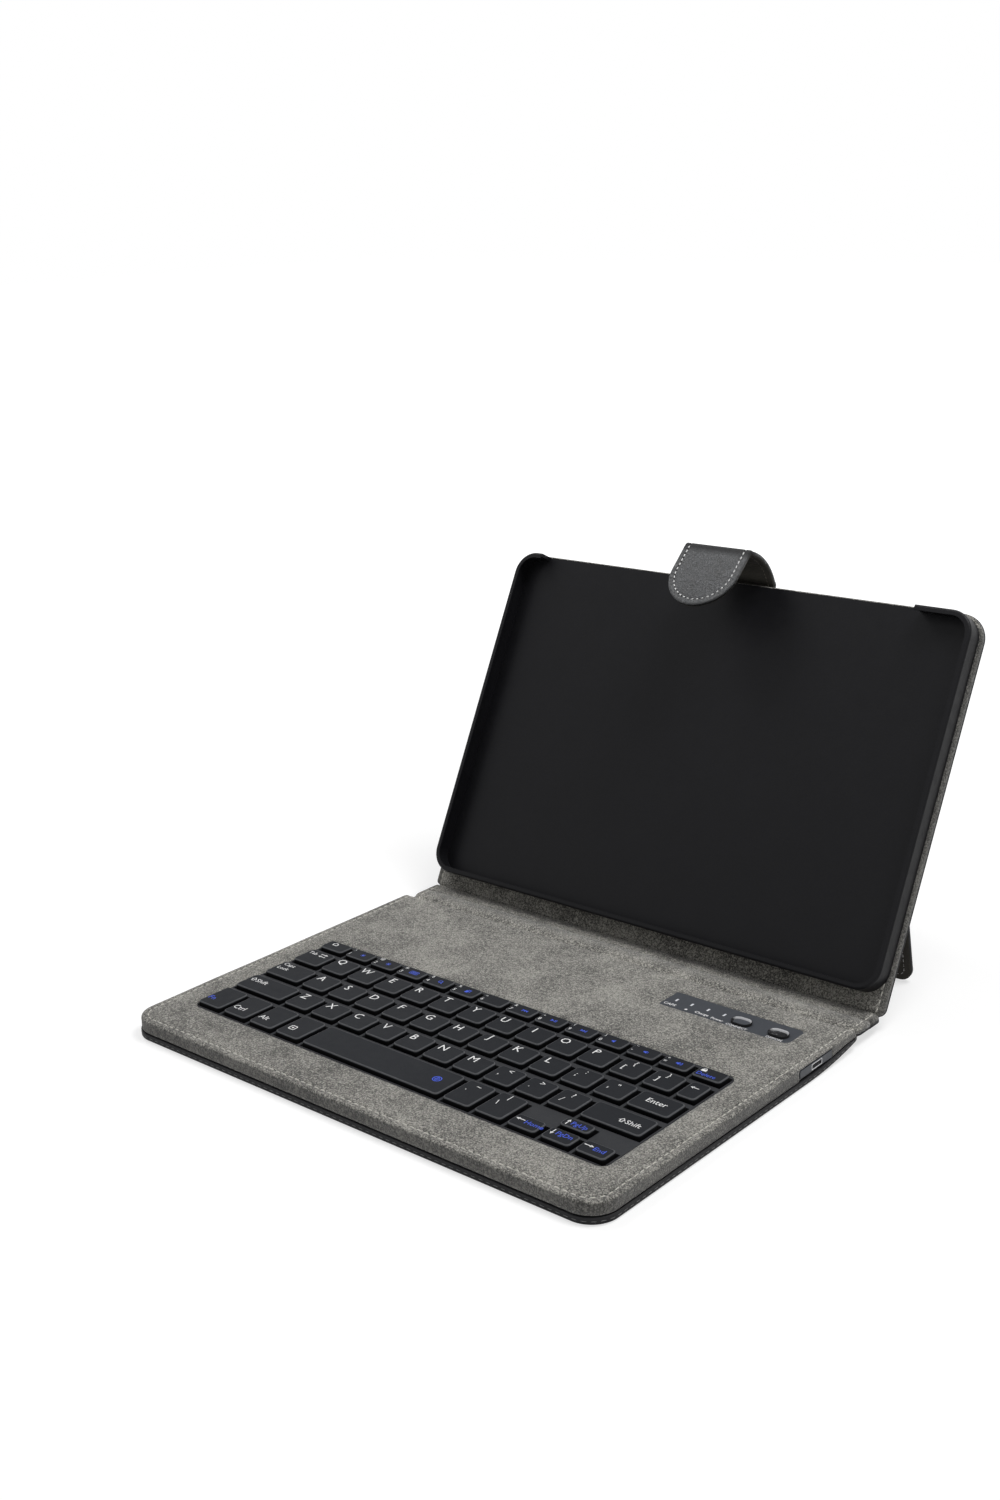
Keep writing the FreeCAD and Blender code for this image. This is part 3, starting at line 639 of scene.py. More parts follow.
moduleLining = {"half": 127.7, "setBack": 0.3, "rim": 1.1, "thick": 0.7, "spineHalf": 127.0,
                "creaseCut": 1.3, "wall": (0.2, 0.45, 0.7, 1.0), "tuck": (0.25, 0.9, 3.0),
                "seam": 3.1, "seamDepth": 0.28, "seamWidth": 0.55,
                "beside": (-1.2, -0.6, -0.25, 0.0, 0.25, 0.6, 1.2),
                "stitch": {"dash": 2.6, "pitch": 3.7, "thick": 0.55},
                # openings: x, x, y, y, radius of the left corners, radius of the right ones
                "keys": (-112.9, 112.9, -65.4, 20.6, 3.9, 3.9),
                "strip": (47.65, 112.15, 58.05, 72.35, 0.75, 2.9),
                # the right wall steps back round the port insert
                "port": (42.0, 68.0), "portStep": 0.75, "portEase": 1.2, "portTop": 8.5, "portFade": 0.7,
                "portWall": 126.8,
                # height of the top along s, and of the wall's foot over the leather
                "topS": (83.4, 84.3, 85.0, 85.6, 86.2, 87.0, 88.0, 89.0, 89.8, 90.6, 91.4, 92.4, 94.0),
                "topZ": (9.2, 9.1, 8.85, 8.35, 7.7, 7.0, 6.55, 6.4, 6.5, 6.85, 7.35, 7.7, 7.8),
                "footS": (76, 84, 88, 92), "footH": (3.1, 2.1, 0.7, 0.7), "swellEnd": 84, "swellFade": 6}


def buildModuleLining():
    # one cloth over module and first crease: its height along s, less a furrow, plus the swell of its top
    d = moduleLining
    front = folio["front"] + d["setBack"]
    ease = d["portEase"]

    def face(x, v):
        s = v + front
        z = np.interp(s, d["topS"], d["topZ"]) - furrow(distanceToRim(x, v, d["half"], folio["corner"]), d)
        z = z + swell(x, v) * np.clip((d["swellEnd"] - s) / d["swellFade"], 0, 1)
        return z - halfLeather - rise(s)

    def place(x, v, h):
        s = v + front
        px, py, pz = onFolio(x, s, h)
        beside = np.clip((s - d["port"][0]) / ease, 0, 1) * np.clip((d["port"][1] - s) / ease, 0, 1)
        under = np.clip((d["portTop"] - pz) / d["portFade"], 0, 1)
        return px - d["portStep"] * beside * under * (x > d["portWall"]), py, pz

    linesX, linesV = seamLines(d)
    portLines = [p + f * o for p, f in zip(d["port"], (1, -1)) for o in (-ease, 0, ease / 2, ease)]
    linesV = np.r_[linesV, np.r_[d["topS"], portLines] - front]
    holes = [(x0, x1, y0 - front, y1 - front, r, q) for x0, x1, y0, y1, r, q in (d["keys"], d["strip"])]
    for x0, x1, v0, v1, r, q in holes:
        linesX = np.r_[linesX, x0, x0 + r, x1 - q, x1]
        linesV = np.r_[linesV, v0, v0 + r, v0 + q, v1 - q, v1 - r, v1]
    sheet = {**folioSheet, **d, "length": spineMiddle - front, "linesX": linesX, "linesV": linesV,
             "holes": holes, "face": face, "place": place, "wide": lambda v: baseWidth(v + front, d),
             "back": lambda x, v: np.interp(v + front, d["footS"], d["footH"])}
    piece = addSheet("module_lining", sheet, suede, "grey_suede")
    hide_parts("base_lining")
    stitches = sew("module_stitches", sheet, d["seam"], paleThread, "grey_suede", **d["stitch"])
    for each in (piece, stitches):
        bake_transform(each)


panelLining = {"half": folio["halfWidth"], "face": 2.8, "back": 0.62, "rim": 1.1, "tuck": (1.0,),
               "thick": 0.6, "creaseDip": 0.7, "creaseWidth": 1.5, "bendLines": np.arange(104, 118, 0.7),
               "seam": 2.9, "seamDepth": 0.25, "seamWidth": 0.5, "beside": besideSeam, "swell": 0.6,
               "stitch": {"dash": 2.6, "pitch": 3.7, "thick": 0.55}, "shadeFrom": 124.5, "shadeOver": 3}


def buildPanelLining():
    # one cloth over spine and panel, measured from its top edge: level, less a furrow and a dip at the crease
    d = panelLining

    def face(x, v):
        s = folioTop - v
        dip = d["creaseDip"] * np.exp(-((s - folio["creaseTwo"]) / d["creaseWidth"]) ** 2)
        seam = furrow(distanceToRim(x, v, d["half"], folio["corner"]), d)
        return d["face"] - dip - seam + swell(x, s) * d["swell"]

    def shade(points, edge):
        # painted shade: the turned-down edge counts double, and the face darkens towards the sides
        return np.maximum(edge * 2, np.clip((np.abs(points[:, 0]) - d["shadeFrom"]) / d["shadeOver"], 0, 1))

    linesX, linesV = seamLines(d)
    sheet = {**folioSheet, **d, "length": folioTop - spineMiddle, "linesX": linesX,
             "linesV": np.r_[linesV, folioTop - d["bendLines"]], "face": face, "back": even(d["back"]),
             "place": lambda x, v, h: onFolio(x, folioTop - v, h), "flip": True,
             "wide": lambda v: panelWidth(folioTop - v), "shade": shade}
    piece = addSheet("panel_lining_cloth", sheet, suede, "grey_suede")
    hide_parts("panel_lining", "spine_lining")
    stitches = sew("panel_stitches", sheet, d["seam"], paleThread, "grey_suede", **d["stitch"])
    for each in (piece, stitches):
        metres(panelPoint(2.4, 0.6))
        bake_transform(each)


outerLeather = {"half": folio["halfWidth"], "seam": 2.3, "seamDepth": 0.2, "seamWidth": 0.5,
                "beside": besideSeam, "stitch": {"dash": 1.9, "pitch": 2.5, "thick": 0.42}, "sign": -1,
                # the base leaf is a thick edge that thins out towards the spine
                "leaf": 3.0, "leafFade": (78, 88), "spineHalf": 127.2, "creaseCut": 0.9,
                "base": {"rim": 0.9, "thick": 0.5, "wall": (0.5, 0.85, 1.0), "tuck": (0.35, 3.0)},
                "baseBend": np.arange(80, 95, 0.8),
                "leafStitch": {"dash": 2.2, "pitch": 3.6, "thick": 0.34, "lift": 0.0, "sink": 0.0},
                "leafSeam": 0.06, "leafSeamHeight": 1.0,
                "panel": {"rim": 0.5, "thick": 0.4, "tuck": (0.3, 2.0)}, "panelProud": 0.1,
                "panelBend": np.arange(103, 117, 0.8)}


def leatherFace(x, v):
    # the leather's outer side, with its furrow
    inside = distanceToRim(x, v, outerLeather["half"], folio["corner"])
    return furrow(inside, outerLeather) - halfLeather


def buildBaseLeather():
    # the leather under the base and half the spine, its edge turned up as a leaf
    d, front = outerLeather, folio["front"]
    leaf = (d["leaf"] - halfLeather, halfLeather)
    linesX, linesV = seamLines(d)
    sheet = {**folioSheet, **d, **d["base"], "length": spineMiddle - front, "linesX": linesX,
             "linesV": np.r_[linesV, d["baseBend"] - front], "face": leatherFace, "flip": True,
             "back": lambda x, v: np.interp(v + front, d["leafFade"], leaf),
             "place": lambda x, v, h: onFolio(x, v + front, h), "wide": lambda v: baseWidth(v + front, d)}
    lower = addSheet("outer_leather_base", sheet, blackLeather, "black_leather")
    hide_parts("base_outer_cover")
    stitches = sew("base_leather_stitches", sheet, d["seam"], greyThread, "black_leather", **d["stitch"])
    side = {**sheet, "face": even(d["leafSeamHeight"])}
    bound = sew("leaf_edge_stitches", side, d["leafSeam"], edgeThread, "black_leather", **d["leafStitch"])
    for each in (lower, stitches, bound):
        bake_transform(each)


def buildPanelLeather():
    # the leather behind the panel and half the spine, measured from its top edge
    d = outerLeather
    top = folioTop + d["panelProud"]
    linesX, linesV = seamLines(d)
    sheet = {**folioSheet, **d, **d["panel"], "half": d["half"] + d["panelProud"],
             "length": top - spineMiddle, "linesX": linesX, "back": even(halfLeather),
             "linesV": np.r_[linesV, folioTop - d["panelBend"]], "face": leatherFace,
             "place": lambda x, v, h: onFolio(x, top - v, h), "wide": lambda v: panelWidth(folioTop - v)}
    upper = addSheet("outer_leather_panel", sheet, blackLeather, "black_leather")
    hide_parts("panel_outer_cover", "spine_outer_cover")
    stitches = sew("panel_leather_stitches", sheet, d["seam"], greyThread, "black_leather", **d["stitch"])
    for each in (upper, stitches):
        metres(panelPoint(2.4, 0.0))
        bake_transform(each)


buildModuleLining()
buildPanelLining()
buildBaseLeather()
buildPanelLeather()
print("folio covered")


# keys
keyRows = {"span": 223.5, "step": 14.3, "gap": 2.03, "numberGap": 1.792, "backspace": 9.6, "caps": 21.5,
           "shift": 29.2, "top": 11.4, "round": 0.6, "roundSteps": 4, "lip": 0.25, "corner": 1.9,
           "leastCorner": 0.35, "cornerShare": 0.6,
           # a key's side as rings of (inset, height)
           "side": ((0.0, 7.6), (0.05, 8.6), (0.24, 10.2), (0.4, 10.8)),
           # front and back of each row
           "number": (9.4, 18.5), "upper": (-7.8, 6.0), "middle": (-25.2, -11.4), "lower": (-42.8, -29.0),
           "bottom": (-64.4, -46.0), "arrowLow": (-64.4, -55.1), "arrowHigh": (-53.0, -46.0)}


def layKeys():
    # every key's rectangle as (node, legend, x0, x1, y0, y1): keys stand side by side from the left,
    # and a width of zero takes what its row has left
    d, found = keyRows, []
    step, gap = d["step"], d["gap"]

    def row(y, gap, *groups):
        # one row from groups of (node, width, legends)
        laid = [(node, width, legend) for node, width, legends in groups for legend in legends]
        spare = d["span"] - gap * (len(laid) - 1) - sum(width for node, width, legend in laid)
        x = -d["span"] / 2
        for node, width, legend in laid:
            width = width or spare
            found.append((node, legend, x, x + width, *d[y]))
            x += width + gap

    row("number", d["numberGap"], ("number_row_keys", step, ["home", *"1234567890-=", "delete"]))
    row("upper", gap, ("tab_key", 0, ["tab"]), ("upper_letter_keys", step, "QWERTYUIOP[]"),
        ("backspace_key", d["backspace"], ["back"]))
    row("middle", gap, ("caps_key", d["caps"], ["caps"]), ("middle_letter_keys", step, "ASDFGHJKL;'"),
        ("enter_key", 0, ["enter"]))
    row("lower", gap, ("left_shift_key", d["shift"], ["shift"]), ("lower_letter_keys", step, "ZXCVBNM,./"),
        ("right_shift_key", 0, ["shiftRight"]))
    row("bottom", gap, ("fn_key", step, ["fn"]), ("ctrl_key", step, ["ctrl"]), ("alt_key", step, ["alt"]),
        ("command_key", step, ["mark"]), ("space_bar", 0, ["space"]), ("symbol_keys", step, "`\\"),
        ("left_arrow_key", step, ["homeArrow"]), ("down_arrow_key", step, ["pageDown"]),
        ("right_arrow_key", step, ["endArrow"]))
    # the arrows are half keys, with the fourth behind the middle one
    for k in (-3, -2, -1):
        found[k] = (*found[k][:4], *d["arrowLow"])
    found.append(("up_arrow_key", "pageUp", *found[-2][2:4], *d["arrowHigh"]))
    return found


def roundedLoop(x0, x1, y0, y1, r, count=5, left=None):
    # a rectangle with quarter-round corners; the left pair may have a radius of its own
    arc = np.linspace(0, quarter, count)
    c, s = np.cos(arc), np.sin(arc)
    q = r if left is None else left
    corners = [(x1 - r + r * c, y1 - r + r * s), (x0 + q - q * s, y1 - q + q * c),
               (x0 + q - q * c, y0 + q - q * s), (x1 - r + r * s, y0 + r - r * c)]
    return np.concatenate([np.column_stack(corner) for corner in corners])


def carryUp(outline, rings, lid=True, floor=False):
    # an outline carried up through (inset, height) rings, ring joined to ring by a band of quads
    loops = [(outline(inset), z) for inset, z in rings]
    points = np.concatenate([np.column_stack([loop, np.full(len(loop), z)]) for loop, z in loops])
    n, bands = len(loops[0][0]), len(rings) - 1
    low = np.arange(bands)[:, None] * n
    a, b = (low + np.arange(n)).ravel(), (low + np.roll(np.arange(n), -1)).ravel()
    faces = np.stack([a, b, b + n, a + n], -1).tolist()
    if lid:
        faces.append((bands * n + np.arange(n)).tolist())
    if floor:
        faces.append(np.arange(n)[::-1].tolist())
    return points, faces


def keyCap(x0, x1, y0, y1):
    # a rounded rectangle carried up a drafted side, round a quarter circle and onto a flat top
    d = keyRows
    r, (draft, shoulder) = d["round"], d["side"][-1]
    turn = np.linspace(0, quarter, d["roundSteps"] + 1)[1:]
    rings = [*d["side"], *((draft + r * (1 - math.cos(a)), shoulder + r * math.sin(a)) for a in turn)]
    rings.append((draft + r + d["lip"], d["top"]))
    edge = (1, 1, 1, 0.75, 0.5, 0.5, 0.5, 0.25, 0)    # one value for each ring, for the finish

    def outline(inset):
        corner = max(d["corner"] - inset * d["cornerShare"], d["leastCorner"])
        return roundedLoop(x0 + inset, x1 - inset, y0 + inset, y1 - inset, corner)

    points, faces = carryUp(outline, rings, floor=True)
    return points, faces, np.repeat(edge, len(points) // len(edge))


def joinShapes(shapes):
    # several (points, faces) as one, each one's face numbers moved past the points before it
    starts = np.cumsum([0] + [len(shape[0]) for shape in shapes])
    faces = [[i + int(start) for i in face] for start, shape in zip(starts, shapes) for face in shape[1]]
    return np.concatenate([shape[0] for shape in shapes]), faces


def buildKeys(found):
    # the caps of each node as one piece
    byNode = {}
    for node, legend, *rectangle in found:
        byNode.setdefault(node, []).append(keyCap(*rectangle))
    for node, caps in byNode.items():
        points, faces = joinShapes(caps)
        edge = np.concatenate([cap[2] for cap in caps])
        piece = addPiece(node + "_caps", points, faces, keyPlastic, "key_plastic", edge=edge)
        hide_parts(node)
        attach(piece, node)


# prints: flat shapes as (points, faces), drawn about zero in millimetres

def flatText(body, size, bold=0.0):
    # one line of printing as a flat mesh, lower left corner at zero
    curve = bpy.data.curves.new("print", "FONT")
    curve.body, curve.size, curve.resolution_u, curve.offset = body, size, 2, bold
    holder = bpy.data.objects.new("print", curve)
    bpy.context.scene.collection.objects.link(holder)
    graph = bpy.context.evaluated_depsgraph_get()
    mesh = bpy.data.meshes.new_from_object(holder.evaluated_get(graph))
    points = np.empty(len(mesh.vertices) * 3)
    mesh.vertices.foreach_get("co", points)
    points = points.reshape(-1, 3)[:, :2]
    faces = [list(p.vertices) for p in mesh.polygons]
    if sum(p.normal.z for p in mesh.polygons) < 0:
        faces = [f[::-1] for f in faces]
    bpy.data.objects.remove(holder)
    bpy.data.curves.remove(curve)
    bpy.data.meshes.remove(mesh)
    return points - points.min(0), faces


def stroke(points, width, closed=False, mitre=2.0):
    # a line of even width through the points, mitred at each one up to a limit
    p = np.asarray(points, float)
    if closed:
        ahead, behind = np.roll(p, -1, 0), np.roll(p, 1, 0)
    else:
        ahead, behind = np.vstack([p[1:], 2 * p[-1:] - p[-2:-1]]), np.vstack([2 * p[:1] - p[1:2], p[:-1]])
    a, b = unit(p - behind), unit(ahead - p)
    side = unit(np.column_stack([-(a + b)[:, 1], (a + b)[:, 0]]))
    stretch = 1 / np.maximum(np.sum(side * np.column_stack([-a[:, 1], a[:, 0]]), 1), 1 / mitre)
    off = side * (stretch * width / 2)[:, None]
    n = len(p)
    i = np.arange(n if closed else n - 1)
    faces = np.stack([i, n + i, n + (i + 1) % n, (i + 1) % n], -1)
    return np.vstack([p + off, p - off]), faces.tolist()


def polygon(*points):
    # one face through the points
    return np.array(points, float), [list(range(len(points)))]


def box(x0, x1, y0, y1):
    # an upright rectangle
    return polygon((x0, y0), (x1, y0), (x1, y1), (x0, y1))


def disc(r, count=12):
    # a filled circle about zero
    turn = np.arange(count) * 2 * math.pi / count
    return polygon(*np.column_stack([r * np.cos(turn), r * np.sin(turn)]))


def ringLine(x, y, r, width, count=16, start=0.0, end=2 * math.pi):
    # a circle, or the arc from start to end, drawn with a line
    whole = end - start >= 2 * math.pi
    turn = np.linspace(start, end, count + 1)[:count if whole else None]
    return stroke(np.column_stack([x + r * np.cos(turn), y + r * np.sin(turn)]), width, whole)


def arrow(length, turn):
    # a shaft and a triangle, turned together
    h, c, s = length / 2, math.cos(turn), math.sin(turn)
    shapes = [stroke([(-h, 0), (h * 0.5, 0)], 0.42), polygon((h * 0.25, -0.8), (h, 0), (h * 0.25, 0.8))]
    return [(points @ np.array([(c, s), (-s, c)]), faces) for points, faces in shapes]


def drawMarks():
    # the small pictures on the keys
    turns = np.arange(8) * math.pi / 4
    sunRays = [stroke(np.outer((0.85, 1.25), (math.cos(a), math.sin(a))), 0.24) for a in turns]
    grid = [(a, b) for a in (-1.4, -0.7, 0, 0.7, 1.4) for b in (-0.55, 0.05, 0.65)]
    keyDots = [box(a - 0.24, a + 0.24, b - 0.2, b + 0.2) for a, b in grid]
    skip = [polygon((k - 1.7, -0.85), (k - 0.5, 0), (k - 1.7, 0.85)) for k in (0, 1.2)]
    skip += [stroke([(1, -0.9), (1, 0.9)], 0.36)]
    horn = [polygon((-1.6, -0.5), (-0.9, -0.5), (-0.1, -1.1), (-0.1, 1.1), (-0.9, 0.5), (-1.6, 0.5))]
    waves = [ringLine(-0.3, 0, r, 0.28, 8, -0.8, 0.8) for r in (0.8, 1.45)]
    globe, bulge = 1.85, 0.85
    return {"sun": [disc(0.6)] + sunRays,
            "board": [stroke(roundedLoop(-2.2, 2.2, -1.25, 1.25, 0.3, 3), 0.26, True)] + keyDots,
            "glass": [ringLine(-0.2, 0.2, 0.95, 0.34), stroke([(0.5, -0.5), (1.3, -1.3)], 0.42)],
            "copy": [box(-1.2, 0.4, -1.3, 0.7), stroke([(-0.5, 1.2), (1.1, 1.2), (1.1, -0.8)], 0.3)],
            "next": skip, "previous": [(-points, faces) for points, faces in skip],
            "play": [polygon((-1.5, -0.9), (0, 0), (-1.5, 0.9))] +
                    [stroke([(k, -0.9), (k, 0.9)], 0.36) for k in (0.5, 1.2)],
            "mute": horn, "softer": horn + waves[:1], "louder": horn + waves,
            "lock": [box(-1.2, 1.2, -1.2, 0.3), ringLine(0, 0.35, 0.75, 0.34, 10, 0, math.pi)],
            "house": [stroke([(-1.15, -0.95), (1.15, -0.95), (1.35, 0.3), (0, 1.25), (-1.35, 0.3)],
                             0.42, True)],
            "globe": [ringLine(0, 0, globe, 0.4, 20), stroke([(-globe, 0), (globe, 0)], 0.3),
                      stroke([(0, -globe), (0, globe)], 0.3), ringLine(-1.4, 0, 2.1, 0.28, 8, -bulge, bulge),
                      ringLine(1.4, 0, 2.1, 0.28, 8, math.pi - bulge, math.pi + bulge)],
            "mark": [stroke(roundedLoop(-1.5, 1.5, -1.5, 1.5, 0.5, 3), 0.42, True), disc(0.55)],
            "shift": [stroke([(-0.55, -1.2), (0.55, -1.2), (0.55, 0), (1.25, 0), (0, 1.4), (-1.25, 0),
                              (-0.55, 0)], 0.34, True)]}


marks = drawMarks()
arrowTurns = {"right": 0.0, "up": quarter, "left": math.pi, "down": -quarter}
numberMarks = {"1": "sun", "2": "sun", "3": "board", "4": "glass", "5": "copy", "6": None, "7": "previous",
               "8": "play", "9": "next", "0": "mute", "-": "softer", "=": "louder"}
shiftSigns = dict(zip("1234567890-=[];'`\\,./", "!@#$%^&*()_+{}:\"~|<>?"))
# prints as (ink, word or mark, size, x, y), from the key's left edge and printFar in front of its back edge
printFar = 0.8
keyPrints = {"home": [("white", "house", 1, 5.4, -2.4)],
             "delete": [("white", "lock", 1, 3.2, -2.0), ("blue", "Delete", 3.3, 1.8, -6.4)],
             "tab": [("white", "Tab", 3.3, 1.6, -4.0), ("white", "right", 4.2, 10.2, -1.8),
                     ("white", "left", 4.2, 10.2, -3.8)],
             "back": [("white", "left", 3.8, 4.0, -4.2)],
             "caps": [("white", "Caps", 3.4, 2.2, -3.6), ("white", "Lock", 3.4, 2.2, -7.0)],
             "enter": [("white", "Enter", 4.4, 5.6, -6.8)],
             "shift": [("white", "shift", 1, 3.6, -4.2), ("white", "Shift", 4.0, 5.5, -5.6)],
             "shiftRight": [("white", "shift", 1, 16.4, -6.6), ("white", "Shift", 4.0, 18.3, -8.0)],
             "fn": [("blue", "Fn", 4.3, 1.6, -12.6)],
             "ctrl": [("white", "Ctrl", 4.3, 1.5, -12.6)],
             "alt": [("white", "Alt", 4.3, 1.5, -12.6)],
             "mark": [("white", "mark", 1, 4.8, -10.6)],
             "space": [("blue", "globe", 1, 67.93, -7.6)],
             "homeArrow": [("white", "left", 4.4, 3.6, -2.9), ("blue", "Home", 3.6, 6.4, -4.8)],
             "endArrow": [("white", "right", 4.4, 3.6, -2.9), ("blue", "End", 3.6, 6.4, -4.8)],
             "pageUp": [("white", "up", 3.8, 2.8, -2.9), ("blue", "PgUp", 3.6, 4.6, -4.8)],
             "pageDown": [("white", "down", 3.8, 2.8, -2.9), ("blue", "PgDn", 3.6, 4.6, -4.8)]}


# size, x and y of a letter, a sign and its shifted one; some signs and their shifted ones stand further back
signPlaces = {"letter": (5.9, 4.3, -4.9), "number": (2.9, 1.5, -6.4), "numberShift": (2.5, 1.5, -2.4),
              "numberMark": (1, 8.4, -3.7), "sign": (4.4, 3.6, -8.8), "signShift": (4.2, 6.2, -4.2)}
signLifts = {"-": (1.2, 1.2), "=": (1.2, 0.0), **{sign: (1.4, 1.0) for sign in ";',.`"}}


def printsOf(legend):
    # a key's own list, one letter, or a sign with its shifted one and perhaps a mark
    if legend in keyPrints:
        return keyPrints[legend]
    if legend.isalpha():
        return [("white", legend, *signPlaces["letter"])]
    kind, found = "number" if legend in numberMarks else "sign", []
    lift, shiftLift = signLifts.get(legend, (0.0, 0.0))
    for what, where, up in ((shiftSigns[legend], kind + "Shift", shiftLift), (legend, kind, lift)):
        size, x, y = signPlaces[where]
        found.append(("white", what, size, x, y + up))
    mark = numberMarks.get(legend)
    return found + ([("blue", mark, *signPlaces["numberMark"])] if mark else [])


def drawn(what, size, x, y, bold=0.0):
    # a mark at a scale, an arrow of a length or a word of a size, moved into place
    # a single letter stands on its middle
    if what in marks:
        shapes = [(points * size, faces) for points, faces in marks[what]]
    elif what in arrowTurns:
        shapes = arrow(size, arrowTurns[what])
    else:
        shapes = [flatText(what, size, bold)]
        if len(what) == 1 and what.isalpha():
            x = x - shapes[0][0][:, 0].max() / 2
    return [(points + (x, y), faces) for points, faces in shapes]


def prism(shapes, low, high):
    # flat shapes raised into closed prints: top, bottom and a wall along every edge that one face alone has
    points, faces = joinShapes(shapes)
    n = len(points)
    free = {}
    for face in faces:
        for a, b in zip(face, face[1:] + face[:1]):
            if free.pop((b, a), None) is None:
                free[(a, b)] = True
    solid = np.vstack([np.column_stack([points, np.full(n, z)]) for z in (high, low)])
    under = [[i + n for i in reversed(face)] for face in faces]
    return solid, faces + under + [[b, a, a + n, b + n] for a, b in free]


inkDepth, inkProud = 0.1, 0.02


def addPrint(name, shapes, top, material, slot, body):
    # prints let a little into the surface at height top
    points, faces = prism(shapes, top - inkDepth, top + inkProud)
    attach(addPiece(name, points, faces, material, slot, smooth=False), body)


def buildLegends(found):
    # every key's prints, gathered by node and ink
    gathered = {}
    for node, legend, x0, x1, y0, y1 in found:
        for shade, what, size, x, y in printsOf(legend):
            gathered.setdefault((node, shade), []).extend(drawn(what, size, x0 + x, y1 - printFar + y))
    for (node, shade), shapes in gathered.items():
        addPrint(node + "_print_" + shade, shapes, keyRows["top"], inks[shade], "key_plastic", node)


# control strip and port
controlPrint = {"bold": 0.02,
                "prints": (("CAPS", 2.6, 48.8, 59.6), ("lock", 0.5, 60.4, 60.2), ("Charge", 2.4, 64.7, 59.3),
                           ("Power", 2.3, 73.4, 59.2), ("CONNECT", 2.1, 81.4, 58.4),
                           ("OFF/ON", 2.15, 101.0, 58.4))}


def buildControlPrint():
    # the words in front of the lights and controls
    d = controlPrint
    shapes = [shape for each in d["prints"] for shape in drawn(*each, d["bold"])]
    addPrint("control_strip_print", shapes, controls["top"], inks["white"], "strip_plastic", "keyboard_panel")


# rings are (inset, height over the strip)
controls = {"y": 63.2, "top": 9.2, "endSteps": 9, "endFlat": 0.01, "leastEnd": 0.02,
            "button": 86.5, "slot": 104.7, "knob": 103.1, "ribs": (-0.8, 0.0, 0.8),
            "wellSize": (9.4, 6.4), "knobSize": (3.7, 3.6), "ribSize": (0.5, 2.2),
            "collarRings": [(0.0, -0.05), (0.0, 1.12), (0.06, 1.19), (0.16, 1.2)],
            "slopeRings": [(0.16, 1.2), (0.9, 0.6), (0.9, -0.4)],
            "floorRings": [(0.85, -0.6), (0.85, 0.34)],
            "buttonRings": [(0.96, -0.6), (0.96, 0.46), (1.02, 0.54), (1.2, 0.58), (2.0, 0.56)],
            "knobRings": [(0.0, 0.2), (0.0, 0.5), (0.08, 0.58), (0.3, 0.62)],
            "ribRings": [(0.0, 0.56), (0.04, 0.74), (0.12, 0.78)]}
controlPlate = {"x": (47.6, 112.2), "y": (58.0, 72.4), "left": 0.8, "right": 3.0, "low": 8.4, "high": 9.18,
                "well": 0.85}


def pill(x, long, deep, inset):
    # a rectangle whose ends are half circles, about a place on the controls' line
    d = controls
    a, b, y = long / 2 - inset, deep / 2 - inset, d["y"]
    r = max(min(a, b) - d["endFlat"], d["leastEnd"])
    return roundedLoop(x - a, x + a, y - b, y + b, r, d["endSteps"])


def buildControlPlate():
    # the strip's outline less a pill under each collar, filled with triangles and raised to its thickness
    d, c = controlPlate, controls
    loops = [roundedLoop(*d["x"], *d["y"], d["right"], c["endSteps"], d["left"])]
    loops += [pill(x, *c["wellSize"], d["well"]) for x in (c["button"], c["slot"])]
    flat = np.concatenate(loops)
    corners = np.array(tessellate_polygon([[(x, y, 0.0) for x, y in loop] for loop in loops]))
    first, second = flat[corners[:, 1]] - flat[corners[:, 0]], flat[corners[:, 2]] - flat[corners[:, 0]]
    back = first[:, 0] * second[:, 1] < first[:, 1] * second[:, 0]
    corners[back] = corners[back, ::-1]
    points, faces = prism([(flat, corners.tolist())], d["low"], d["high"])
    piece = addPiece("control_plate", points, faces, stripPlastic, "strip_plastic", smooth=False)
    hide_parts("control_strip")
    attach(piece, "keyboard_panel")


def buildControls():
    # a raised black collar round each control, its inside a slope with a painted highlight on its far side;
    # the button fills one and the slider runs in the other; each is a pill carried up through rings
    d = controls

    def add(name, x, size, rings, material, slot, body, lid=True):
        raised = [(inset, d["top"] + height) for inset, height in d[rings]]
        points, faces = carryUp(lambda inset: pill(x, *size, inset), raised, lid)
        # how far back each point lies, which places the slope's painted highlight
        far = np.clip((points[:, 1] - d["y"]) / size[1] + 0.5, 0, 1)
        piece = addPiece(name, points, faces, material, slot, edge=far)
        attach(piece, body)
        return piece

    well = d["wellSize"]
    for name, x in (("connect", d["button"]), ("switch", d["slot"])):
        add(name + "_collar", x, well, "collarRings", casePlastic, "strip_plastic", "keyboard_panel", False)
        add(name + "_slope", x, well, "slopeRings", paintedHighlightRim, "strip_plastic", "keyboard_panel", False)
    add("switch_floor", d["slot"], well, "floorRings", casePlastic, "strip_plastic", "keyboard_panel")
    button = add("connect_button_cap", d["button"], well, "buttonRings", stripPlastic, "button_plastic",
                 "connect_button")
    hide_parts("connect_button")
    knob = add("power_switch_knob", d["knob"], d["knobSize"], "knobRings", buttonPlastic, "button_plastic",
               "power_switch")
    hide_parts("power_switch")
    for k, off in enumerate(d["ribs"]):
        add("power_switch_rib_%d" % k, d["knob"] + off, d["ribSize"], "ribRings", buttonPlastic,
            "button_plastic", "power_switch")


socketMouth = {"x": (126.5, 127.2), "y": (52.0, 59.0), "z": (5.25, 7.15)}


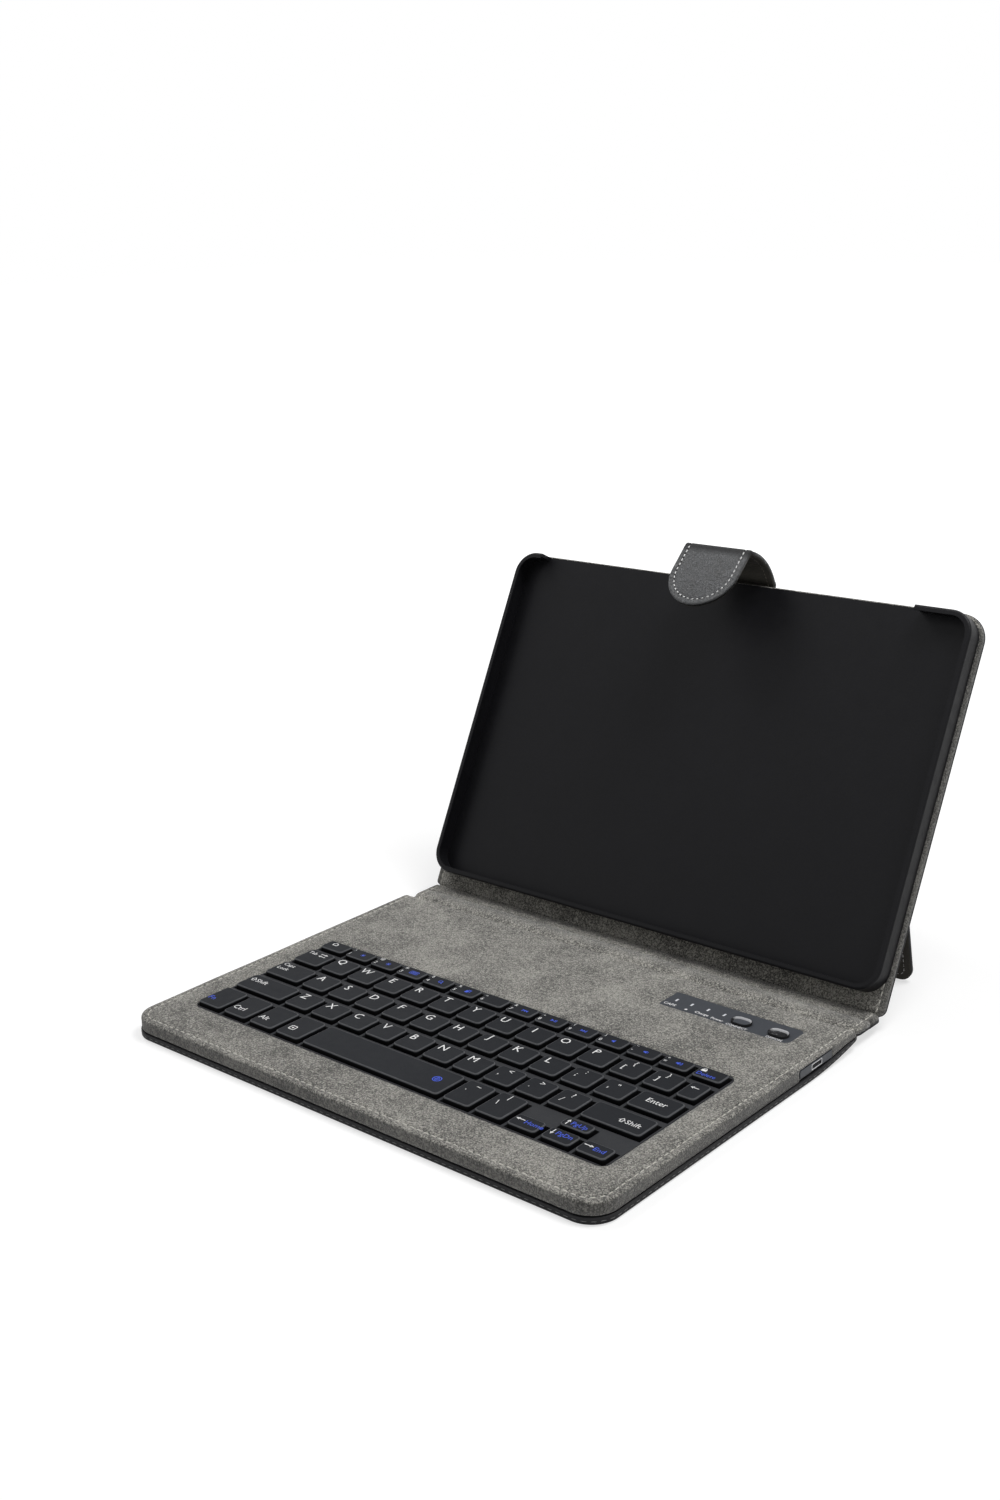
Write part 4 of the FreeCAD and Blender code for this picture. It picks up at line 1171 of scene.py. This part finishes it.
def buildSocketMouth():
    # a dark block that closes the socket just inside its open end
    d = socketMouth
    corners = np.array([(x, y, z) for x in d["x"] for y in d["y"] for z in d["z"]])
    faces = [[0, 1, 3, 2], [4, 6, 7, 5], [0, 4, 5, 1], [2, 3, 7, 6], [0, 2, 6, 4], [1, 5, 7, 3]]
    piece = addPiece("socket_mouth", corners, faces, casePlastic, "case_plastic", smooth=False)
    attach(piece, "keyboard_panel")


keyPlan = layKeys()
buildKeys(keyPlan)
buildLegends(keyPlan)
buildControlPlate()
buildControlPrint()
buildControls()
buildSocketMouth()
print("keys and print made")


# closing strap
strapPlan = {"half": 18.0, "root": (180.2, -1.8), "patch": 152.0, "lean": 75.0, "bridge": 28.5, "span": 12.75,
             "arcRadius": 28.59, "arcPoints": 15, "tip": 33.0, "tipLean": 160.0, "lowCorner": 5.0,
             "soften": 1.6, "blend": 2.6,
             "face": 1.15, "back": -0.45, "rim": 0.7, "step": 2.2, "tuck": (0.4, 1.5), "thick": 0.5,
             "puff": 0.45, "puffRun": 8.0, "puffEdge": 5.0, "bendLines": np.arange(-5, 5, 0.5),
             "seam": 2.9, "seamDepth": 0.24, "seamWidth": 0.5, "beside": besideSeam + (2.0,),
             "stitch": {"dash": 1.75, "pitch": 2.5, "thick": 0.66},
             "needle": {"dash": 0.8, "pitch": 2.5, "thick": 0.78, "lift": 0.0, "sink": 0.06, "shift": 0.5},
             "innerFace": -1.2, "innerBack": 0.1, "innerInset": 0.15, "innerRim": 0.45, "innerThick": 0.4,
             "innerStitch": {"dash": 1.55, "pitch": 2.1, "thick": 0.4}}
pathStep = 0.25


def walk(corners, soften):
    # a line through corner points in even steps, its corners eased by a moving average
    # returns run, y, z and the unit direction
    points = np.array(corners, float)
    total = np.r_[0, np.cumsum(np.hypot(*np.diff(points, axis=0).T))]
    at = np.linspace(0, total[-1], int(total[-1] / pathStep) + 1)
    kernel = np.hanning(2 * int(soften / pathStep) + 3)[1:-1]
    kernel /= kernel.sum()
    pad = len(kernel) // 2

    def ease(a):
        longer = np.r_[2 * a[0] - a[pad:0:-1], a, 2 * a[-1] - a[-2:-pad - 2:-1]]
        return np.convolve(longer, kernel, "valid")

    y, z = ease(np.interp(at, total, points[:, 0])), ease(np.interp(at, total, points[:, 1]))
    run = np.r_[0, np.cumsum(np.hypot(np.diff(y), np.diff(z)))]
    dy, dz = np.gradient(y, run), np.gradient(z, run)
    size = np.hypot(dy, dz)
    return run, y, z, dy / size, dz / size


def along(path, outward):
    # a place function: x across, v along the path, h towards the outer side
    run, y, z, dy, dz = path

    def place(x, v, h):
        py, pz = np.interp(v, run, y), np.interp(v, run, z)
        oy, oz = -outward * np.interp(v, run, dz), outward * np.interp(v, run, dy)
        size = np.hypot(oy, oz)
        return x, py + h * oy / size, pz + h * oz / size
    return place


def strapCorners():
    # up the panel's back to the root, over the bridge's arc to the bend, and down the tip
    # returns the corner points, the root and the bend
    d = strapPlan
    lean = folio["tilt"] + np.radians([d["lean"], d["tipLean"]])
    chord, rest = np.column_stack([np.cos(lean), np.sin(lean)])
    root = panelPoint(*d["root"])
    bend = root + chord * d["bridge"]
    t = np.linspace(-d["span"], d["span"], d["arcPoints"])[:, None]
    bow = np.sqrt(d["arcRadius"] ** 2 - t ** 2) - math.sqrt(d["arcRadius"] ** 2 - d["span"] ** 2)
    arc = (root + bend) / 2 + t * chord + bow * np.array([chord[1], -chord[0]])
    return [panelPoint(d["patch"], d["root"][1]), root, *arc, bend, bend + rest * d["tip"]], root, bend


# the border tone is a painted highlight, the side tone a dark cut edge with painted shade, the fold tone
# painted shade
strapTone = {"dark": (0.006, 0.0065, 0.0072), "pale": (0.037, 0.0395, 0.0435),
             "borderHighlight": (0.045, 0.0465, 0.049), "side": (0.004, 0.004, 0.0045),
             "fold": (0.003, 0.003, 0.0035), "plain": (0.02, 0.02, 0.022)}


def strapPaint(place):
    # the cover's black leather: long fine wrinkles, a painted highlight on the bevelled border, a dark cut
    # edge deepened by painted shade, and painted shade where it folds, duller there
    t = strapTone
    grain = place.cells(1300, "F1")
    wrinkle = place.shifted(0.003, 300).noise(620, 3, 0.62, stretch=(1.3, 0.7, 0.7), distortion=0.6)
    cloud = place.noise(55, 3, 0.5)
    edge = edgeOf(place)
    # painted shade of the fold, near the bend
    fold = place.vector("MULTIPLY", i1=(0.0, 1.0, 1.0)).vector("DISTANCE", 1, i1=metres(strapCorners()[2]))
    fold = fold.ramp(0.002, 0.0052, 1.0, 0.0)
    tone = (cloud.ramp(0.35, 0.7) * 0.3 + wrinkle.ramp(0.38, 0.64) * 0.72).mix(t["dark"], t["pale"])
    # painted highlight on the bevelled border
    tone = (edge.ramp(0.02, 0.2) * 0.6).mix(tone, t["borderHighlight"])
    # dark cut edge, deepened by painted shade
    tone = edge.ramp(0.3, 0.7).mix(tone, t["side"])
    tone = (fold * 0.9).mix(tone, t["fold"])
    return {"colour": tone, "rough": 0.38 + cloud * 0.1 + fold * 0.4,
            "bump": (grain * 0.25 + wrinkle * 0.9, 0.0009, 0.75), "plain": t["plain"]}


def buildStrapHalf(name, length, radius, place, hinge, hidden):
    # one half from its free end to the middle of the bridge: leather that swells away from seam and hinge,
    # and a level inner face
    d = strapPlan

    def face(x, v):
        inside = distanceToRim(x, v, d["half"], radius)
        puff = d["puff"] * (1 - np.exp(-((v - hinge) / d["puffRun"]) ** 2))
        puff = puff * (1 - np.exp(-(np.maximum(inside - d["seam"], 0) / d["puffEdge"]) ** 2))
        return d["face"] + puff - furrow(inside, d)

    linesX, linesV = seamLines(d)
    linesV = np.r_[linesV, hinge + d["bendLines"]]
    outer = {**d, "length": length, "radius": radius, "linesX": linesX, "linesV": linesV, "face": face,
             "back": even(d["back"]), "place": place, "flip": name == "strap_lower"}
    inner = {**outer, "half": d["half"] - d["innerInset"], "rim": d["innerRim"], "thick": d["innerThick"],
             "flip": name == "strap_upper",
             "linesV": linesV + d["innerRim"] - d["rim"],      # on the same grid as the leather
             "face": even(d["innerFace"]), "back": even(d["innerBack"]), "sign": -1}
    cover = addSheet(name + "_leather", outer, strapLeather, "strap_leather")
    lining = addSheet(name + "_inner", inner, strapBacking, "strap_backing")
    stitches = sew(name + "_stitches", outer, d["seam"], strapThread, "strap_leather", **d["stitch"])
    # dark dashes between the stitches: painted shade of the needle holes
    pits = sew(name + "_needle_holes", outer, d["seam"], needleHoleShade, "strap_leather", **d["needle"])
    inside = sew(name + "_inner_stitches", inner, d["seam"], darkThread, "strap_backing", **d["innerStitch"])
    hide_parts(*hidden)
    ends = place(np.zeros(2), hinge + d["blend"] * np.array([-1, 1]), np.zeros(2))
    start, end = (np.column_stack(ends) * mm).tolist()
    for piece in (cover, lining, stitches, pits, inside):
        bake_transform(piece)


def buildStrap():
    # two halves that meet in the middle of the bridge, each running inwards from its own end
    d = strapPlan
    corners, root, bend = strapCorners()
    forward, backward = walk(corners, d["soften"]), walk(corners[::-1], d["soften"])
    total = forward[0][-1]
    rootRun = forward[0][np.argmin(np.hypot(forward[1] - root[0], forward[2] - root[1]))]
    bendRun = backward[0][np.argmin(np.hypot(backward[1] - bend[0], backward[2] - bend[1]))]
    middle = (rootRun + total - bendRun) / 2
    buildStrapHalf("strap_upper", total - middle, d["half"], along(backward, 1), bendRun,
                   ("strap_tip_cover", "strap_tip_lining"))
    buildStrapHalf("strap_lower", middle, d["lowCorner"], along(forward, -1), rootRun,
                   ("strap_bridge_cover", "strap_bridge_lining", "strap_anchor_patch"))


strapLeather = finish("strap leather", strapPaint, Specular_IOR_Level=0.5)
buildStrap()
print("strap made")


# kickstand
standPlan = {"half": 114.0, "hinge": (75.3, -3.0), "open": 39.3, "foot": 3.54, "anchor": 105.3, "corner": 6.5,
             "soften": 1.8, "blend": 2.4, "face": 0.5, "back": -1.7, "anchorBack": -2.2, "rim": 0.7,
             "tuck": (0.4, 3.0), "thick": 0.6, "swell": 0.5, "bendLines": np.arange(-6, 6, 0.7),
             "seam": 3.2, "seamDepth": 0.2, "seamWidth": 0.5, "beside": besideSeam,
             "stitch": {"dash": 1.9, "pitch": 2.5, "thick": 0.42},
             "innerFace": -2.1, "innerBack": -0.6, "innerInset": 0.2, "innerShort": 1.5, "innerCorner": 1.5,
             "innerRim": 0.5, "innerTuck": (0.6,), "innerThick": 0.4,
             "innerStitch": {"dash": 1.9, "pitch": 2.5, "thick": 0.4}}


def buildStand():
    # one leather from the foot over the hinge to the strip sewn on the panel, and a lining on the flap
    d = standPlan
    hinge, anchor = panelPoint(*d["hinge"]), panelPoint(d["anchor"], d["hinge"][1])
    lean = folio["tilt"] + math.radians(d["open"])
    down = -np.array([math.cos(lean), math.sin(lean)])
    length = d["hinge"][0] - d["foot"]
    path = walk([hinge + down * length, hinge, anchor], d["soften"])
    total = path[0][-1]

    def face(x, v):
        inside = np.minimum(distanceToRim(x, v, d["half"], d["corner"]),
                            distanceToRim(x, total - v, d["half"], d["corner"]))
        return d["face"] - furrow(inside, d) + swell(x, v) * d["swell"]

    linesX, linesV = seamLines(d)
    sheet = {**d, "length": total, "radius": d["corner"], "endRadius": d["corner"], "closed": True,
             "step": folio["grid"], "place": along(path, -1), "flip": True, "linesX": linesX,
             "linesV": np.r_[linesV, total - linesV, length + d["bendLines"]], "face": face,
             "back": lambda x, v: np.where(v < length, d["back"], d["anchorBack"])}
    cover = addSheet("stand_leather", sheet, blackLeather, "black_leather")
    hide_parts("stand_outer_cover", "stand_anchor_strip")
    stitches = sew("stand_stitches", sheet, d["seam"], greyThread, "black_leather", **d["stitch"])
    for piece in (cover, stitches):
        metres(hinge + down * d["blend"])
        metres(panelPoint(d["hinge"][0] + d["blend"], d["hinge"][1]))
        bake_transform(piece)

    flap = {**sheet, "half": d["half"] - d["innerInset"], "length": length - d["innerShort"],
            "endRadius": d["innerCorner"], "rim": d["innerRim"], "flip": False, "sign": -1, "linesV": linesV,
            "face": even(d["innerFace"]), "back": even(d["innerBack"]), "tuck": d["innerTuck"],
            "thick": d["innerThick"]}
    lining = addSheet("stand_inner", flap, strapBacking, "strap_backing")
    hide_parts("stand_lining")
    inside = sew("stand_inner_stitches", flap, d["seam"], greyThread, "strap_backing", **d["innerStitch"])
    for piece in (lining, inside):
        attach(piece, "kickstand")


buildStand()
print("kickstand made")


# camera, floor and light
eye = {"lens": 43.897, "sensor": 36.0, "place": (0.47132, -0.5253, 0.34901), "heading": 131.1586,
       "pitch": -17.2976, "roll": -1.7472, "clip": (0.01, 50)}


def addCamera():
    # a level camera that faces the heading, then tipped by the pitch and rolled about its own axis
    camera = bpy.data.objects.new("camera", bpy.data.cameras.new("camera"))
    bpy.context.scene.collection.objects.link(camera)
    camera.data.sensor_width, camera.data.lens = eye["sensor"], eye["lens"]
    camera.data.clip_start, camera.data.clip_end = eye["clip"]
    heading = Matrix.Rotation(math.radians(eye["heading"]) - quarter, 4, "Z")
    pitch = Matrix.Rotation(math.radians(eye["pitch"]) + quarter, 4, "X")
    roll = Matrix.Rotation(math.radians(eye["roll"]), 4, "Z")
    camera.matrix_world = Matrix.Translation(eye["place"]) @ heading @ pitch @ roll
    bpy.context.scene.camera = camera


# the floor keeps its shadow near the part, and is plain white to the camera from far on
stage = {"half": 6.0, "drop": 0.0002, "white": 0.86, "own": 0.5, "glow": 1.3, "near": 0.4, "far": 1.0,
         "sky": 0.23}


def seenDirectly(tree):
    # one for rays from the camera, a mirror or glass, zero for those that only light the part
    path = tree.nodes.new("ShaderNodeLightPath")
    camera, glossy, through = (Knot(tree, path.outputs["Is %s Ray" % kind]) for kind in
                               ("Camera", "Glossy", "Transmission"))
    return (camera + glossy + through).ramp(0.0, 1.0)


def addFloor():
    # a matt floor, mixed with a glow where it is seen directly, by a share that grows with distance
    half, low = stage["half"], -stage["drop"]
    mesh = bpy.data.meshes.new("floor")
    corners = [(-half, -half, low), (half, -half, low), (half, half, low), (-half, half, low)]
    mesh.from_pydata(corners, [], [(0, 1, 2, 3)])
    floor = bpy.data.objects.new("floor", mesh)
    bpy.context.scene.collection.objects.link(floor)
    material = bpy.data.materials.new("studio floor")
    material.use_nodes = True
    tree = material.node_tree
    tree.nodes.clear()
    place = Knot(tree, tree.nodes.new("ShaderNodeTexCoord").outputs["Object"])
    away = place.vector("LENGTH", 1).ramp(stage["near"], stage["far"], stage["own"], 1.0)
    matt = place.node("ShaderNodeBsdfDiffuse", Color=(stage["white"], stage["white"], stage["white"], 1.0))
    glow = place.node("ShaderNodeEmission", Strength=stage["glow"])
    both = place.node("ShaderNodeMixShader", i0=seenDirectly(tree) * away, i1=matt, i2=glow)
    out = tree.nodes.new("ShaderNodeOutputMaterial")
    tree.links.new(both.socket, out.inputs["Surface"])
    mesh.materials.append(material)


def addSky():
    # white where it is seen directly, and a faint light otherwise
    world = bpy.data.worlds.new("studio")
    bpy.context.scene.world = world
    world.use_nodes = True
    tree = world.node_tree
    ground = next(n for n in tree.nodes if n.type == "BACKGROUND")
    strength = seenDirectly(tree).ramp(0.0, 1.0, stage["sky"], 1.0)
    tree.links.new(strength.socket, ground.inputs["Strength"])
    ground.inputs["Color"].default_value = (1.0, 1.0, 1.0, 1.0)


lamps = {"key": {"place": (0.34, 0.22, 0.97), "target": (0, 0.03, 0.03), "size": 0.45, "power": 6.4},
         "left": {"place": (-0.61, 0.0, 1.07), "target": (0, 0.16, 0.17), "size": 0.45, "power": 4.2},
         "fill": {"place": (0.3, -1.2, 1.0), "target": (0, 0, 0.05), "size": 1.0, "power": 1.3}}


def addLamp(name, place, target, size, power):
    # a round lamp turned to face its target
    lamp = bpy.data.lights.new(name, "AREA")
    lamp.shape, lamp.size, lamp.energy = "DISK", size, power
    holder = bpy.data.objects.new(name, lamp)
    bpy.context.scene.collection.objects.link(holder)
    ahead = unit(np.array(target) - np.array(place))
    side = unit(np.cross(ahead, (0, 0, 1)))
    facing = Matrix((side, np.cross(side, ahead), -ahead)).transposed()
    holder.matrix_world = Matrix.Translation(place) @ facing.to_4x4()


addCamera()
addFloor()
addSky()
for name, settings in lamps.items():
    addLamp(name, **settings)
bpy.context.scene.view_settings.view_transform = "Standard"
print("stage set")
